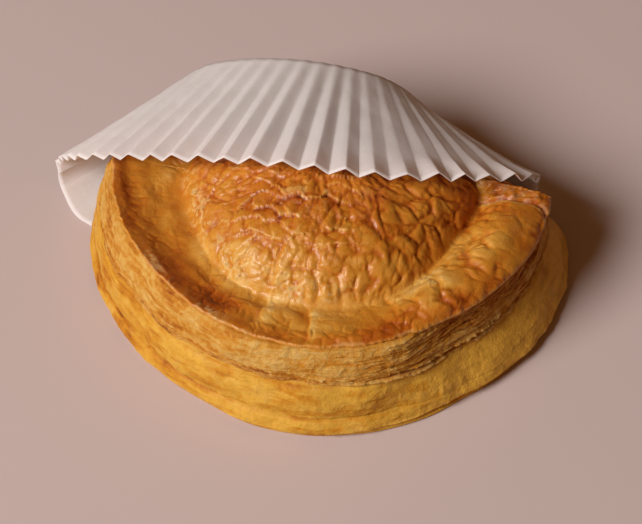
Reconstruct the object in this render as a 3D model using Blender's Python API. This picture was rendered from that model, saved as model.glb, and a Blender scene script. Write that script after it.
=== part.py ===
"""A curry pie: a half-moon puff pastry pie with a domed lid, tucked into a fluted paper case.

Sizes are written in millimetres and become metres as each mesh is made. X runs along the pie's
straight back, -Y is its round front and +Z is up. The pie is one solid: its leaves, its rim, the
groove inside the rim and the puffed lid are relief in it. The paper case lies on its side. Its
upper wall covers the back of the lid, its lower wall is pressed flat under the pie, and its round
base stands behind, pressed into an oval.
"""

import math

import bmesh
import bpy
import numpy as np
from mathutils import Matrix, Vector, noise

MM = 0.001

# Pie, seen from above: a half-moon about PIE_MIDDLE
PIE_MIDDLE = (0.0, -1.0)
LIP_HALF_WIDTH = 55.2
LIP_FRONT = 54.0
LIP_BACK = 21.0
FRONT_TAPER = 0.03
SEGMENTS = 96

# Pie, seen from the side. A row holds one size at the front, the right, the back and the left.
LEAF_FOOT = ((0.4, 0.4, 0.4, 0.4), (5.0, 4.4, 5.0, 5.0), (13.6, 11.4, 13.6, 13.6))
LEAF_HEAD = ((5.0, 4.4, 5.0, 5.0), (13.6, 11.4, 13.6, 13.6), (23.6, 23.4, 23.0, 24.4))
LEAF_FOOT_INSET = ((0.9, 0.9, 0.9, 0.9), (2.2, 5.4, 2.4, 1.7), (4.6, 6.9, 4.2, 3.1))
LEAF_HEAD_INSET = ((1.7, 4.6, 1.8, 1.3), (4.0, 6.3, 3.8, 2.9), (6.2, 7.2, 8.0, 6.2))
LEAF_SQUARENESS = (2.8, 2.7, 2.4, 1.0)  # how square the back corners are, up the side
LEAF_SWELL = (0.9, 0.9, 0.7)
LEAF_ROWS = (0.06, 0.3, 0.6, 0.94)
SEAM_DEPTH = 0.8
EDGE_HEIGHT = (24.5, 24.6, 23.8, 25.2)
EDGE_INSET = (7.0, 8.2, 9.0, 7.0)
GROOVE_HEIGHT = (22.3, 22.4, 22.4, 21.6)
GROOVE_INSET = (18.6, 22.8, 12.0, 22.8)
GROOVE_SQUARENESS = 1.5
GROOVE_TURN = (0.45, 1.0)
SIDE_TURN = (0.2, 0.75)
RIM_SWELL = (0.5, 3.4, 0.6, -0.9)
RIM_ROUNDNESS = 0.8
RIM_END_DROP = 0.45
RIM_ROWS = (0.12, 0.3, 0.55, 0.8)
CREST = (-1.0, -5.0)
CREST_HEIGHT = 36.0
LID_FULLNESS = 0.6
LID_ROWS = (0.04, 0.12, 0.24, 0.38, 0.54, 0.7, 0.86)

# Unevenness of the baked pastry, and the hollow under it where the paper lies
LID_PUFF = 0.7
LID_PUFF_SPAN = 9.0
LID_PUFF_START = 0.25
SIDE_WAVE = 0.8
RIM_WAVE = 0.8
WAVE_SPAN = 14.0
LEVEL_SHIFT = 3.7
BASE_INSET = 1.6
BASE_ROWS = (1.0, 0.9, 0.76, 0.6, 0.44, 0.26)
PAPER_HOLLOW = 1.3
HOLLOW_START = -15.0
HOLLOW_FULL = -10.0
HOLLOW_FADE_HEIGHT = 7.0

# Paper case. The mouth runs from the left fold over the pie, down behind its right corner and
# back under it; the base is an oval standing on the floor.
PLEATS = 46
WALL_ROWS = 8
PAPER_THICKNESS = 0.35
CURVE_STEPS = 24
PLEAT_DEPTH_MOUTH = 2.9
PLEAT_DEPTH_BASE = 1.3
FLAT_HEIGHT = 0.34
FLAT_PLEAT_SHARE = 0.07
PLEAT_RISE = 9.0
MOUTH = (
    (-64.6, 8.0, 9.5),
    (-56.8, -2.2, 23.8),
    (-38.0, -7.8, 32.4),
    (-14.0, -12.6, 39.4),
    (11.0, -13.2, 39.3),
    (33.0, -6.0, 33.6),
    (43.9, 1.8, 26.4),
    (45.3, 11.5, 14.0),
    (44.8, 17.4, 3.0),
    (38.0, 11.0, FLAT_HEIGHT),
    (0.0, -4.0, FLAT_HEIGHT),
    (-45.0, -3.5, FLAT_HEIGHT),
    (-57.5, -1.0, FLAT_HEIGHT),
    (-63.3, 5.2, 2.2),
)
WALL_TURN_UP = 3.0
BASE_MIDDLE = (-10.8, 16.8)
BASE_HALF_WIDTH = 27.0
BASE_HALF_HEIGHT = 16.2
BASE_SQUARENESS = (2.0, 2.8)
BASE_FOOT_Y = 34.0
BASE_LEAN = 9.0
BASE_BULGE = 2.2
BASE_CREASE = 1.3
BASE_ROUNDS = (0.9, 0.7, 0.45, 0.2)
BASE_PLEAT_FADE = 0.35

CRUST_COLOUR = (0.72, 0.36, 0.09, 1.0)
CRUST_ROUGHNESS = 0.45
PAPER_COLOUR = (0.86, 0.83, 0.81, 1.0)
PAPER_ROUGHNESS = 0.8


def clear_scene():
    for old in list(bpy.data.objects):
        bpy.data.objects.remove(old, do_unlink=True)


def plain_material(name, colour, roughness):
    material = bpy.data.materials.new(name)
    material.use_nodes = True
    shader = material.node_tree.nodes["Principled BSDF"]
    shader.inputs["Base Color"].default_value = colour
    shader.inputs["Roughness"].default_value = roughness
    shader.inputs["Metallic"].default_value = 0.0
    return material


def smooth_step(low, high, value):
    share = min(max((value - low) / (high - low), 0.0), 1.0)
    return share * share * (3.0 - 2.0 * share)


def signed_power(value, power):
    return math.copysign(abs(value) ** power, value)


# ---- the pie


def side_mix(sizes, angle, turn=SIDE_TURN):
    """One size at an angle, from its values at the front, the right, the back and the left."""
    front, right, back, left = sizes
    to_right = smooth_step(*turn, math.cos(angle))
    to_left = smooth_step(*turn, -math.cos(angle))
    middle = back if math.sin(angle) > 0.0 else front
    return right * to_right + left * to_left + middle * (1.0 - to_right - to_left)


def half_moon(angle, inset, squareness):
    """The point of the pie's outline at an angle, moved in by the inset."""
    half_width = LIP_HALF_WIDTH - inset
    if math.sin(angle) > 0.0:
        across = half_width * signed_power(math.cos(angle), 2.0 / squareness)
        along = (LIP_BACK - inset) * signed_power(math.sin(angle), 2.0 / squareness)
    else:
        taper = 1.0 - FRONT_TAPER * math.sin(2.0 * angle) ** 2
        across = half_width * taper * math.cos(angle)
        along = (LIP_FRONT - inset) * taper * math.sin(angle)
    return PIE_MIDDLE[0] + across, PIE_MIDDLE[1] + along


def wave(angle, level):
    """Slow unevenness round the pie, within -1 and 1, different at each level."""
    radius = LIP_HALF_WIDTH / WAVE_SPAN
    return noise.noise(Vector((radius * math.cos(angle), radius * math.sin(angle), LEVEL_SHIFT * level)))


def lift_over_paper(y, z):
    """Extra height of the pie's underside where the paper lies under it."""
    fade = max(0.0, 1.0 - z / HOLLOW_FADE_HEIGHT)
    return PAPER_HOLLOW * smooth_step(HOLLOW_START, HOLLOW_FULL, y) * fade


def side_levels(angle):
    """Height, inset and squareness up the pie's side: each leaf's rows, then the seam over it."""
    levels = []
    for leaf, swell in enumerate(LEAF_SWELL):
        foot = side_mix(LEAF_FOOT[leaf], angle)
        head = side_mix(LEAF_HEAD[leaf], angle)
        foot_inset = side_mix(LEAF_FOOT_INSET[leaf], angle)
        head_inset = side_mix(LEAF_HEAD_INSET[leaf], angle)
        for share in LEAF_ROWS:
            height = foot + (head - foot) * share
            inset = foot_inset + (head_inset - foot_inset) * share - swell * math.sin(math.pi * share)
            square = LEAF_SQUARENESS[leaf] + (LEAF_SQUARENESS[leaf + 1] - LEAF_SQUARENESS[leaf]) * share
            levels.append((height, inset - SIDE_WAVE * wave(angle, leaf), square))
        if leaf + 1 < len(LEAF_SWELL):
            seam_inset = side_mix(LEAF_FOOT_INSET[leaf + 1], angle) + SEAM_DEPTH
            levels.append((head, seam_inset, LEAF_SQUARENESS[leaf + 1]))
    return levels


def rim_levels(angle):
    """Height, inset and squareness from the lid's edge over the rim to the groove round the lid."""
    edge = side_mix(EDGE_HEIGHT, angle)
    groove = side_mix(GROOVE_HEIGHT, angle)
    edge_inset = side_mix(EDGE_INSET, angle)
    groove_inset = side_mix(GROOVE_INSET, angle, GROOVE_TURN)
    swell = side_mix(RIM_SWELL, angle) * (1.0 - RIM_END_DROP * smooth_step(-0.3, 0.05, math.sin(angle)))
    levels = [(edge, edge_inset, LEAF_SQUARENESS[-1])]
    for share in RIM_ROWS:
        height = edge + (groove - edge) * share + swell * math.sin(math.pi * share) ** RIM_ROUNDNESS
        inset = edge_inset + (groove_inset - edge_inset) * share
        square = LEAF_SQUARENESS[-1] + (GROOVE_SQUARENESS - LEAF_SQUARENESS[-1]) * share
        levels.append((height + RIM_WAVE * wave(angle, len(LEAF_SWELL) + share), inset, square))
    levels.append((groove, groove_inset, GROOVE_SQUARENESS))
    return levels


def ring_of(level_at):
    """One ring of points, where level_at gives height, inset and squareness at an angle."""
    points = []
    for step in range(SEGMENTS):
        angle = 2.0 * math.pi * step / SEGMENTS
        height, inset, squareness = level_at(angle)
        x, y = half_moon(angle, inset, squareness)
        points.append((x, y, height + lift_over_paper(y, height)))
    return points


def lid_height(share):
    return (1.0 - (1.0 - share) ** 2.0) ** LID_FULLNESS


def lid_ring(share):
    """A ring of the domed lid, from the groove (0) to the crest (1)."""
    points = []
    for step in range(SEGMENTS):
        angle = 2.0 * math.pi * step / SEGMENTS
        groove = side_mix(GROOVE_HEIGHT, angle)
        x, y = half_moon(angle, side_mix(GROOVE_INSET, angle, GROOVE_TURN), GROOVE_SQUARENESS)
        x += (CREST[0] - x) * share
        y += (CREST[1] - y) * share
        z = groove + (CREST_HEIGHT - groove) * lid_height(share)
        puff = noise.noise(Vector((x / LID_PUFF_SPAN, y / LID_PUFF_SPAN, 0.0)))
        points.append((x, y, z + LID_PUFF * puff * min(1.0, share / LID_PUFF_START)))
    return points


def base_ring(share):
    """A ring of the flat underside, a share of the way out from its middle."""
    points = []
    for step in range(SEGMENTS):
        x, y = half_moon(2.0 * math.pi * step / SEGMENTS, BASE_INSET, LEAF_SQUARENESS[0])
        x = CREST[0] + (x - CREST[0]) * share
        y = CREST[1] + (y - CREST[1]) * share
        points.append((x, y, lift_over_paper(y, 0.0)))
    return points


def skin(bm, rings, first_pole, last_pole):
    """Faces from pole to pole through rings of equal length."""
    loops = [[bm.verts.new(Vector(point) * MM) for point in ring] for ring in rings]
    for lower, upper in zip(loops, loops[1:]):
        for index in range(len(lower)):
            after = (index + 1) % len(lower)
            bm.faces.new((lower[index], lower[after], upper[after], upper[index]))
    for pole, loop in ((first_pole, loops[0]), (last_pole, loops[-1])):
        if pole is None:
            continue
        middle = bm.verts.new(Vector(pole) * MM)
        for index in range(len(loop)):
            bm.faces.new((loop[index], loop[(index + 1) % len(loop)], middle))
    bmesh.ops.recalc_face_normals(bm, faces=bm.faces)


def object_from(bm, name, material):
    mesh = bpy.data.meshes.new(name)
    bm.to_mesh(mesh)
    bm.free()
    mesh.materials.append(material)
    made = bpy.data.objects.new(name, mesh)
    bpy.context.scene.collection.objects.link(made)
    return made


def make_pie():
    rings = [base_ring(share) for share in reversed(BASE_ROWS)]
    for level in range(len(side_levels(0.0))):
        rings.append(ring_of(lambda angle, level=level: side_levels(angle)[level]))
    for level in range(len(rim_levels(0.0))):
        rings.append(ring_of(lambda angle, level=level: rim_levels(angle)[level]))
    rings += [lid_ring(share) for share in LID_ROWS]
    bm = bmesh.new()
    under = (CREST[0], CREST[1], PAPER_HOLLOW)
    skin(bm, rings, under, (CREST[0], CREST[1], CREST_HEIGHT))
    crust = plain_material("crust", CRUST_COLOUR, CRUST_ROUGHNESS)
    pie = object_from(bm, "pie", crust)
    pie.data.shade_smooth()
    return pie


# ---- the paper case


def closed_curve(points, count):
    """Points at equal steps along a smooth closed curve through the given ones."""
    fine = []
    for index in range(len(points)):
        before, here, after, beyond = (np.array(points[(index + k) % len(points)]) for k in (-1, 0, 1, 2))
        for step in range(CURVE_STEPS):
            t = step / CURVE_STEPS
            bend = 2 * here + (after - before) * t + (2 * before - 5 * here + 4 * after - beyond) * t**2
            fine.append(0.5 * (bend + (3 * here - before - 3 * after + beyond) * t**3))
    fine = np.array(fine + fine[:1])
    length = np.concatenate(([0.0], np.cumsum(np.linalg.norm(np.diff(fine, axis=0), axis=1))))
    stops = np.arange(count) * length[-1] / count
    return np.stack([np.interp(stops, length, fine[:, axis]) for axis in range(3)], axis=1)


def base_outline(count):
    """The standing oval of the case's base, starting at its left end and going over the top."""
    outline = []
    for step in range(count):
        angle = math.pi - 2.0 * math.pi * step / count
        power = 2.0 / (BASE_SQUARENESS[0] if math.sin(angle) > 0.0 else BASE_SQUARENESS[1])
        x = BASE_MIDDLE[0] + BASE_HALF_WIDTH * signed_power(math.cos(angle), power)
        z = BASE_MIDDLE[1] + BASE_HALF_HEIGHT * signed_power(math.sin(angle), power)
        y = BASE_FOOT_Y - BASE_LEAN * z / (2.0 * BASE_HALF_HEIGHT)
        outline.append((x, y, z))
    return np.array(outline)


def pleat_share(height):
    """How open the pleats stand: full in the air, pressed nearly flat near the floor."""
    return FLAT_PLEAT_SHARE + (1.0 - FLAT_PLEAT_SHARE) * smooth_step(1.0, PLEAT_RISE, height)


def wall_rings():
    """Rings of the pleated wall from the mouth to the base, ridge and valley by turns."""
    count = 2 * PLEATS
    mouth = closed_curve(MOUTH, count)
    mouth[:, 2] = np.maximum(mouth[:, 2], FLAT_HEIGHT)
    base = base_outline(count)
    down = base - mouth
    turn_up = np.array([1.0 + WALL_TURN_UP * (1.0 - smooth_step(1.0, PLEAT_RISE, z)) for z in mouth[:, 2]])
    rings = []
    for row in range(WALL_ROWS + 1):
        share = row / WALL_ROWS
        middle = mouth + down * share
        middle[:, 2] = mouth[:, 2] + down[:, 2] * share**turn_up
        along = np.roll(middle, -1, axis=0) - np.roll(middle, 1, axis=0)
        outward = np.cross(along, down)
        outward /= np.linalg.norm(outward, axis=1)[:, None]
        depth = PLEAT_DEPTH_MOUTH + (PLEAT_DEPTH_BASE - PLEAT_DEPTH_MOUTH) * share
        turn = np.where(np.arange(count) % 2 == 0, 0.5, -0.5) * depth
        turn *= np.array([pleat_share(z) for z in middle[:, 2]])
        rings.append(middle + outward * turn[:, None])
    return rings


def base_rings(edge):
    """Rings of the case's base inside its pleated edge, bulged outward and creased across."""
    outline = base_outline(len(edge))
    middle = outline.mean(axis=0)
    rings = []
    for index, share in enumerate(BASE_ROUNDS):
        pleats = (edge - outline) * BASE_PLEAT_FADE ** (index + 1)
        points = middle + (outline + pleats - middle) * share
        crease = 1.0 - np.abs(points[:, 2] - middle[2]) / BASE_HALF_HEIGHT
        points[:, 1] += BASE_BULGE * (1.0 - share**2) + BASE_CREASE * crease * (1.0 - share)
        rings.append(points)
    middle[1] += BASE_BULGE + BASE_CREASE
    return rings, middle


def make_paper_case():
    wall = wall_rings()
    inner, middle = base_rings(wall[-1])
    bm = bmesh.new()
    skin(bm, wall + inner, None, middle)
    paper = plain_material("paper", PAPER_COLOUR, PAPER_ROUGHNESS)
    case = object_from(bm, "paper_case", paper)
    shell = case.modifiers.new("thickness", "SOLIDIFY")
    shell.thickness = PAPER_THICKNESS * MM
    shell.offset = 0.0
    shell.use_even_offset = True
    return case


def stand_on_origin(pieces):
    """Moves every mesh so that the origin is the middle of the underside of the whole."""
    bpy.context.view_layer.update()
    graph = bpy.context.evaluated_depsgraph_get()
    corners = []
    for piece in pieces:
        shown = piece.evaluated_get(graph)
        mesh = shown.to_mesh()
        corners += [vertex.co.copy() for vertex in mesh.vertices]
        shown.to_mesh_clear()
    low = [min(corner[axis] for corner in corners) for axis in range(3)]
    high = [max(corner[axis] for corner in corners) for axis in range(3)]
    middle = Vector(((low[0] + high[0]) / 2, (low[1] + high[1]) / 2, low[2]))
    for piece in pieces:
        piece.data.transform(Matrix.Translation(-middle))


clear_scene()
stand_on_origin([make_pie(), make_paper_case()])
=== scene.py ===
"""A baked curry pie in its fluted paper case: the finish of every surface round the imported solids."""

import math

import bmesh
import bpy
import numpy as np
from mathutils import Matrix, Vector, noise


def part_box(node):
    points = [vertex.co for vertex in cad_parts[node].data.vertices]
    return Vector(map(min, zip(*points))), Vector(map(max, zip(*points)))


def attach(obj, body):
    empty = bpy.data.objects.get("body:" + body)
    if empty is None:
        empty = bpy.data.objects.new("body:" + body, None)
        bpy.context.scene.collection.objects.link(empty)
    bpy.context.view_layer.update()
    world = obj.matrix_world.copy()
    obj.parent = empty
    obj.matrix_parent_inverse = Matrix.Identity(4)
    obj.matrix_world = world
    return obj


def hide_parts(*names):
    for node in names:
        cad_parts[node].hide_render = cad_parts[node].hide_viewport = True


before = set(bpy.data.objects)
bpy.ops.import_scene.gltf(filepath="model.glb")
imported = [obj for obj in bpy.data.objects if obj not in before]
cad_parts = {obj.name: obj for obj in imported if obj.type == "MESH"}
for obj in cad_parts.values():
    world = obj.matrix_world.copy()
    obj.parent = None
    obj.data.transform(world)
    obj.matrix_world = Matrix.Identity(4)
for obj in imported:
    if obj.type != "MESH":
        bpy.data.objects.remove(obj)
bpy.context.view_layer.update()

# ---- The glazed lid
# The top sheet of puff pastry, brushed with beaten egg and baked golden, amber and brown. It is
# puffed into a dome over the curry, pressed down in a groove round it, and its rim is sealed
# onto the sheets underneath.

MM = 0.001
PIE_MIDDLE = (0.0, -1.0)
LIP_HALF_WIDTH = 55.2
LIP_FRONT = 54.0
LIP_BACK = 21.0
FRONT_TAPER = 0.03
LEAF_FOOT = ((0.4, 0.4, 0.4, 0.4), (5.0, 4.4, 5.0, 5.0), (13.6, 11.4, 13.6, 13.6))
LEAF_HEAD = ((5.0, 4.4, 5.0, 5.0), (13.6, 11.4, 13.6, 13.6), (23.6, 23.4, 23.0, 24.4))
LEAF_FOOT_INSET = ((0.9, 0.9, 0.9, 0.9), (2.2, 5.4, 2.4, 1.7), (4.6, 6.9, 4.2, 3.1))
LEAF_HEAD_INSET = ((1.7, 4.6, 1.8, 1.3), (4.0, 6.3, 3.8, 2.9), (6.2, 7.2, 8.0, 6.2))
LEAF_SQUARENESS = (2.8, 2.7, 2.4, 1.0)
LEAF_SWELL = (0.9, 0.9, 0.7)
SIDE_WAVE = 0.8
EDGE_HEIGHT = (24.5, 24.6, 23.8, 25.2)
EDGE_INSET = (7.0, 8.2, 9.0, 7.0)
GROOVE_HEIGHT = (22.3, 22.4, 22.4, 21.6)
GROOVE_INSET = (18.6, 22.8, 12.0, 22.8)
GROOVE_SQUARENESS = 1.5
GROOVE_TURN = (0.45, 1.0)
SIDE_TURN = (0.2, 0.75)
RIM_SWELL = (0.5, 3.4, 0.6, -0.9)
RIM_ROUNDNESS = 0.8
RIM_END_DROP = 0.45
RIM_WAVE = 0.8
RIM_WAVE_ENDS = (0.12, 0.2)
WAVE_SPAN = 14.0
LEVEL_SHIFT = 3.7
CREST = (-1.0, -5.0)
CREST_HEIGHT = 36.0
LID_FULLNESS = 0.6
LID_PUFF = 0.7
LID_PUFF_SPAN = 9.0
LID_PUFF_START = 0.25
HOLLOW_START = -15.0
HOLLOW_FULL = -10.0
HOLLOW_FADE_HEIGHT = 7.0
PAPER_HOLLOW = 1.3

LID_POINTS_ACROSS = 307
GROOVE_AT = 0.69
DOME_CROWDING = 1.25
LID_EDGE_WANDER = 0.45
LID_EDGE_SPAN = 6.0
TUCKS = ((-0.30, -0.40), (-0.10, -1.1), (1.6, -1.9), (3.0, -6.0))
TUCK_MIDDLE_HEIGHT = 12.0
EGG_WASH_TONES = (
    (0.00, (0.76, 0.48, 0.15)),
    (0.20, (0.67, 0.325, 0.052)),
    (0.40, (0.58, 0.222, 0.020)),
    (0.60, (0.50, 0.142, 0.010)),
    (0.80, (0.37, 0.075, 0.004)),
    (1.00, (0.15, 0.020, 0.002)),
)
DRY_FLAKE_COLOUR = (0.72, 0.46, 0.18, 1.0)
BROWNED_SPOTS = (
    (-26.0, -34.0, 6.0, 0.31),
    (-18.5, -38.5, 5.0, 0.32),
    (-31.0, -29.5, 5.0, 0.14),
    (-41.0, -14.0, 6.0, 0.10),
    (16.0, -44.5, 5.0, 0.28),
    (6.0, -47.0, 4.0, 0.16),
    (29.0, -34.0, 4.5, 0.15),
    (35.5, -25.0, 3.5, 0.08),
    (19.0, -38.0, 3.5, 0.16),
    (33.0, -6.0, 5.0, 0.22),
    (12.0, -14.0, 3.0, 0.12),
)
PALE_SPOTS = (
    (-17.0, -30.0, 5.0, 0.34),
    (-7.0, -34.0, 5.0, 0.34),
    (4.0, -35.0, 4.0, 0.22),
    (-24.0, -22.0, 5.0, 0.22),
    (-29.0, -12.0, 5.0, 0.20),
    (26.0, -29.0, 3.5, 0.30),
    (33.0, -20.0, 3.5, 0.26),
    (-9.0, -41.0, 4.0, 0.14),
    (41.0, -12.0, 4.0, 0.16),
)
FRILLED_SPOTS = ((-33.0, -28.5, 5.0, 1.0), (-21.5, -40.5, 4.0, 1.0))
GROOVE_SOFTENING = 14
GROOVE_SOFT_WIDTH = 0.028
DOME_RING = 23.0
DOME_DRAWN_OUT = 1.1
BIG_BUMP_SPAN = 4.0
SMALL_BUMP_SPAN = 2.3
FINE_BUMP_SPAN = 1.5
CREASE_DEPTH = 0.64
TORN_SHEET_SPAN = 4.3
TORN_SHEET_DOWN = (-0.3, -0.95, 0.0)
TORN_SHEET_STEP = 0.60
RIM_RING = 46.0
RIM_WIDTH = 16.0
RIM_LUMP_SPAN = 5.0
RIM_DIMPLE_SPAN = 2.8
RIM_FOLDS = (  # each: the angle, how deep, and from what reach to what reach
    (-2.02, 0.10, 0.74, 0.90),
    (-1.85, 0.20, 0.70, 0.92),
    (-1.68, 0.10, 0.82, 1.0),
    (-1.57, 0.26, 0.72, 1.0),
    (-1.15, 0.14, 0.70, 0.86),
)
FOLD_DEPTH = 1.9
FOLD_RUN = 2.6
FOLD_RING = 42.0
ROLL_END = (41.0, -10.5, 6.3)
ROLL_OUT = 1.1
ROLL_DOWN = 0.7
NOISE_SEED = 2


noise.seed_set(NOISE_SEED)  # without it, noise_vector starts from the clock


def smooth_step(low, high, value):
    share = np.clip((value - low) / (high - low), 0.0, 1.0)
    return share * share * (3.0 - 2.0 * share)


def band(value, middle, width):
    """A soft band round a middle value: 1 in the middle, fading to 0 a few widths away."""
    return np.exp(-(((value - middle) / width) ** 2))


def crease(rise, width):
    """A narrow cut between blisters: 1 in the crease, and 0 where the blister has risen."""
    return np.clip(1.0 - rise / width, 0.0, 1.0) ** 2


def signed_power(value, power):
    return np.sign(value) * np.abs(value) ** power


def noise_at(points, span, octaves=1):
    """Smooth unevenness at each point, between about -1 and 1, with swells one span apart."""
    return np.array([noise.fractal(point, 1.0, 2.0, octaves) for point in (points / span).tolist()])


def warped(points, span, push):
    """The points pushed about smoothly, so that a pattern made on them looks grown and not ruled."""
    return points + push * np.array([noise.noise_vector(point) for point in (points / span).tolist()])


def blisters(points, span, down=(0.0, 0.0, 1.0)):
    """Blisters about one span across: how far each point is from the crease round its blister, from
    0 in the crease to about 1 in the middle, a tone from 0 to 1 that is the blister's own, and how
    far down from the blister's middle the point lies, in spans."""
    rise, tone, lean = np.empty(len(points)), np.empty(len(points)), np.empty(len(points))
    for index, point in enumerate((points / span).tolist()):
        reach, middles = noise.voronoi(point)
        middle = middles[0]
        rise[index] = reach[1] - reach[0]
        tone[index] = (middle.x * 12.9898 + middle.y * 78.233 + middle.z * 37.719) % 1.0
        lean[index] = sum((here - there) * part for here, there, part in zip(point, middle, down))
    return rise, tone, lean


def side_mix(sizes, angle, turn=SIDE_TURN):
    """One size at each angle, from its values at the front, the right, the back and the left."""
    front, right, back, left = sizes
    to_right = smooth_step(*turn, np.cos(angle))
    to_left = smooth_step(*turn, -np.cos(angle))
    middle = np.where(np.sin(angle) > 0.0, back, front)
    return right * to_right + left * to_left + middle * (1.0 - to_right - to_left)


def half_moon(angle, inset, squareness):
    """Points of the pie's outline at the angles, moved in by the inset."""
    half_width = LIP_HALF_WIDTH - inset
    back = np.sin(angle) > 0.0
    taper = 1.0 - FRONT_TAPER * np.sin(2.0 * angle) ** 2
    power = 2.0 / squareness
    x = np.where(back, half_width * signed_power(np.cos(angle), power), half_width * taper * np.cos(angle))
    y_back = (LIP_BACK - inset) * np.abs(np.sin(angle)) ** power
    y = np.where(back, y_back, (LIP_FRONT - inset) * taper * np.sin(angle))
    return PIE_MIDDLE[0] + x, PIE_MIDDLE[1] + y


def wave(angle, level):
    """Slow unevenness round the pie, different at each level."""
    radius = LIP_HALF_WIDTH / WAVE_SPAN
    level = np.broadcast_to(level, angle.shape)
    places = np.stack((radius * np.cos(angle), radius * np.sin(angle), LEVEL_SHIFT * level), axis=1)
    return np.array([noise.noise(place) for place in places.tolist()])


def lift_over_paper(y, z):
    fade = np.maximum(0.0, 1.0 - z / HOLLOW_FADE_HEIGHT)
    return PAPER_HOLLOW * smooth_step(HOLLOW_START, HOLLOW_FULL, y) * fade


def lid_surface(reach, angle):
    """Points of the lid, from its crest (reach 0) over the groove to its edge (reach 1)."""
    on_rim = reach > GROOVE_AT
    share = np.where(on_rim, (1.0 - reach) / (1.0 - GROOVE_AT), 1.0)
    edge, groove = side_mix(EDGE_HEIGHT, angle), side_mix(GROOVE_HEIGHT, angle)
    edge_inset = side_mix(EDGE_INSET, angle)
    groove_inset = side_mix(GROOVE_INSET, angle, GROOVE_TURN)
    swell = side_mix(RIM_SWELL, angle) * (1.0 - RIM_END_DROP * smooth_step(-0.3, 0.05, np.sin(angle)))
    ends = np.minimum(1.0, np.minimum(share / RIM_WAVE_ENDS[0], (1.0 - share) / RIM_WAVE_ENDS[1]))
    z = edge + (groove - edge) * share + swell * np.abs(np.sin(math.pi * share)) ** RIM_ROUNDNESS
    z += RIM_WAVE * wave(angle, len(LEAF_SWELL) + share) * ends
    squareness = LEAF_SQUARENESS[-1] + (GROOVE_SQUARENESS - LEAF_SQUARENESS[-1]) * share
    x, y = half_moon(angle, edge_inset + (groove_inset - edge_inset) * share, squareness)

    climb = np.where(on_rim, 0.0, np.maximum(0.0, 1.0 - reach / GROOVE_AT) ** DOME_CROWDING)
    x += (CREST[0] - x) * climb
    y += (CREST[1] - y) * climb
    dome = groove + (CREST_HEIGHT - groove) * (1.0 - (1.0 - climb) ** 2) ** LID_FULLNESS
    puff = noise_at(np.stack((x, y, np.zeros(len(x))), axis=1), LID_PUFF_SPAN)
    dome += LID_PUFF * puff * np.minimum(1.0, climb / LID_PUFF_START)
    return np.stack((x, y, np.where(on_rim, z, dome)), axis=1)


def round_disc(count):
    """A square net of points pressed into a round disc: each point's reach and angle, its quads, and
    the run of points along its border."""
    line = np.linspace(-1.0, 1.0, count)
    a, b = (side.ravel() for side in np.meshgrid(line, line, indexing="ij"))
    wide = np.abs(a) > np.abs(b)
    reach = np.where(wide, a, b)
    safe = np.where(reach == 0.0, 1.0, reach)
    angle = np.where(wide, (math.pi / 4) * b / safe, math.pi / 2 - (math.pi / 4) * a / safe)
    angle = np.where(reach < 0.0, angle + math.pi, angle)
    quads = [
        (spot, spot + count, spot + count + 1, spot + 1)
        for row in range(count - 1)
        for spot in range(row * count, row * count + count - 1)
    ]
    last = count - 1
    border = [step * count for step in range(last)]
    border += [last * count + step for step in range(last)]
    border += [(last - step) * count + last for step in range(last)]
    border += [last - step for step in range(last)]
    return np.abs(reach), angle, quads, border


def add_rings(points, faces, border, rings, pole):
    """Adds rings inside a border of an open mesh, then closes the last of them to a pole."""
    points = list(points) + [point for ring in rings for point in ring] + [pole]
    start = len(points) - 1 - sum(len(ring) for ring in rings)
    loops = [border]
    for ring in rings:
        loops.append(list(range(start, start + len(ring))))
        start += len(ring)
    for outer, inner in zip(loops, loops[1:]):
        for index in range(len(outer)):
            after = (index + 1) % len(outer)
            faces.append((outer[index], outer[after], inner[after], inner[index]))
    inner = loops[-1]
    faces += [(inner[index], inner[(index + 1) % len(inner)], len(points) - 1) for index in range(len(inner))]
    return np.array(points), faces


def mesh_of(name, points, faces):
    """A closed mesh with its faces turned outwards, and the outward direction at each point."""
    mesh = bpy.data.meshes.new(name)
    mesh.from_pydata((points * MM).tolist(), [], faces)
    bm = bmesh.new()
    bm.from_mesh(mesh)
    bmesh.ops.recalc_face_normals(bm, faces=bm.faces)
    bm.to_mesh(mesh)
    bm.free()
    mesh.shade_smooth()
    normals = np.empty(len(points) * 3)
    mesh.vertices.foreach_get("normal", normals)
    return mesh, normals.reshape(-1, 3)


def with_hidden(values, amount, value):
    """The values of the points that show, and one value for the hidden points added after them."""
    return np.concatenate((values, np.full(amount, value)))


def finish_piece(mesh, points, shades, material):
    """Gives a mesh its final points and its named shades, and puts it in the scene."""
    mesh.vertices.foreach_set("co", (points * MM).ravel())
    for name, values in shades.items():
        mesh.attributes.new(name, "FLOAT", "POINT").data.foreach_set("value", np.clip(values, 0.0, 1.0))
    mesh.materials.append(material)
    mesh.update()
    piece = bpy.data.objects.new(mesh.name, mesh)
    bpy.context.scene.collection.objects.link(piece)
    return piece


def spots_at(points, spots):
    """How much soft round spots (x, y, radius, amount) add at each point."""
    total = np.zeros(len(points))
    for x, y, radius, amount in spots:
        away = np.hypot(points[:, 0] - x, points[:, 1] - y)
        total += amount * np.exp(-((away / radius) ** 2))
    return total


def add_node(tree, kind, inputs=(), **settings):
    """Adds a node, sets it, and gives its inputs values or links; returns the node."""
    made = tree.nodes.new(kind)
    for name, value in settings.items():
        setattr(made, name, value)
    for key, value in dict(inputs).items():
        if isinstance(value, bpy.types.NodeSocket):
            tree.links.new(value, made.inputs[key])
        else:
            made.inputs[key].default_value = value
    return made


def add_math(tree, operation, *values):
    return add_node(tree, "ShaderNodeMath", dict(enumerate(values)), operation=operation).outputs[0]


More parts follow.
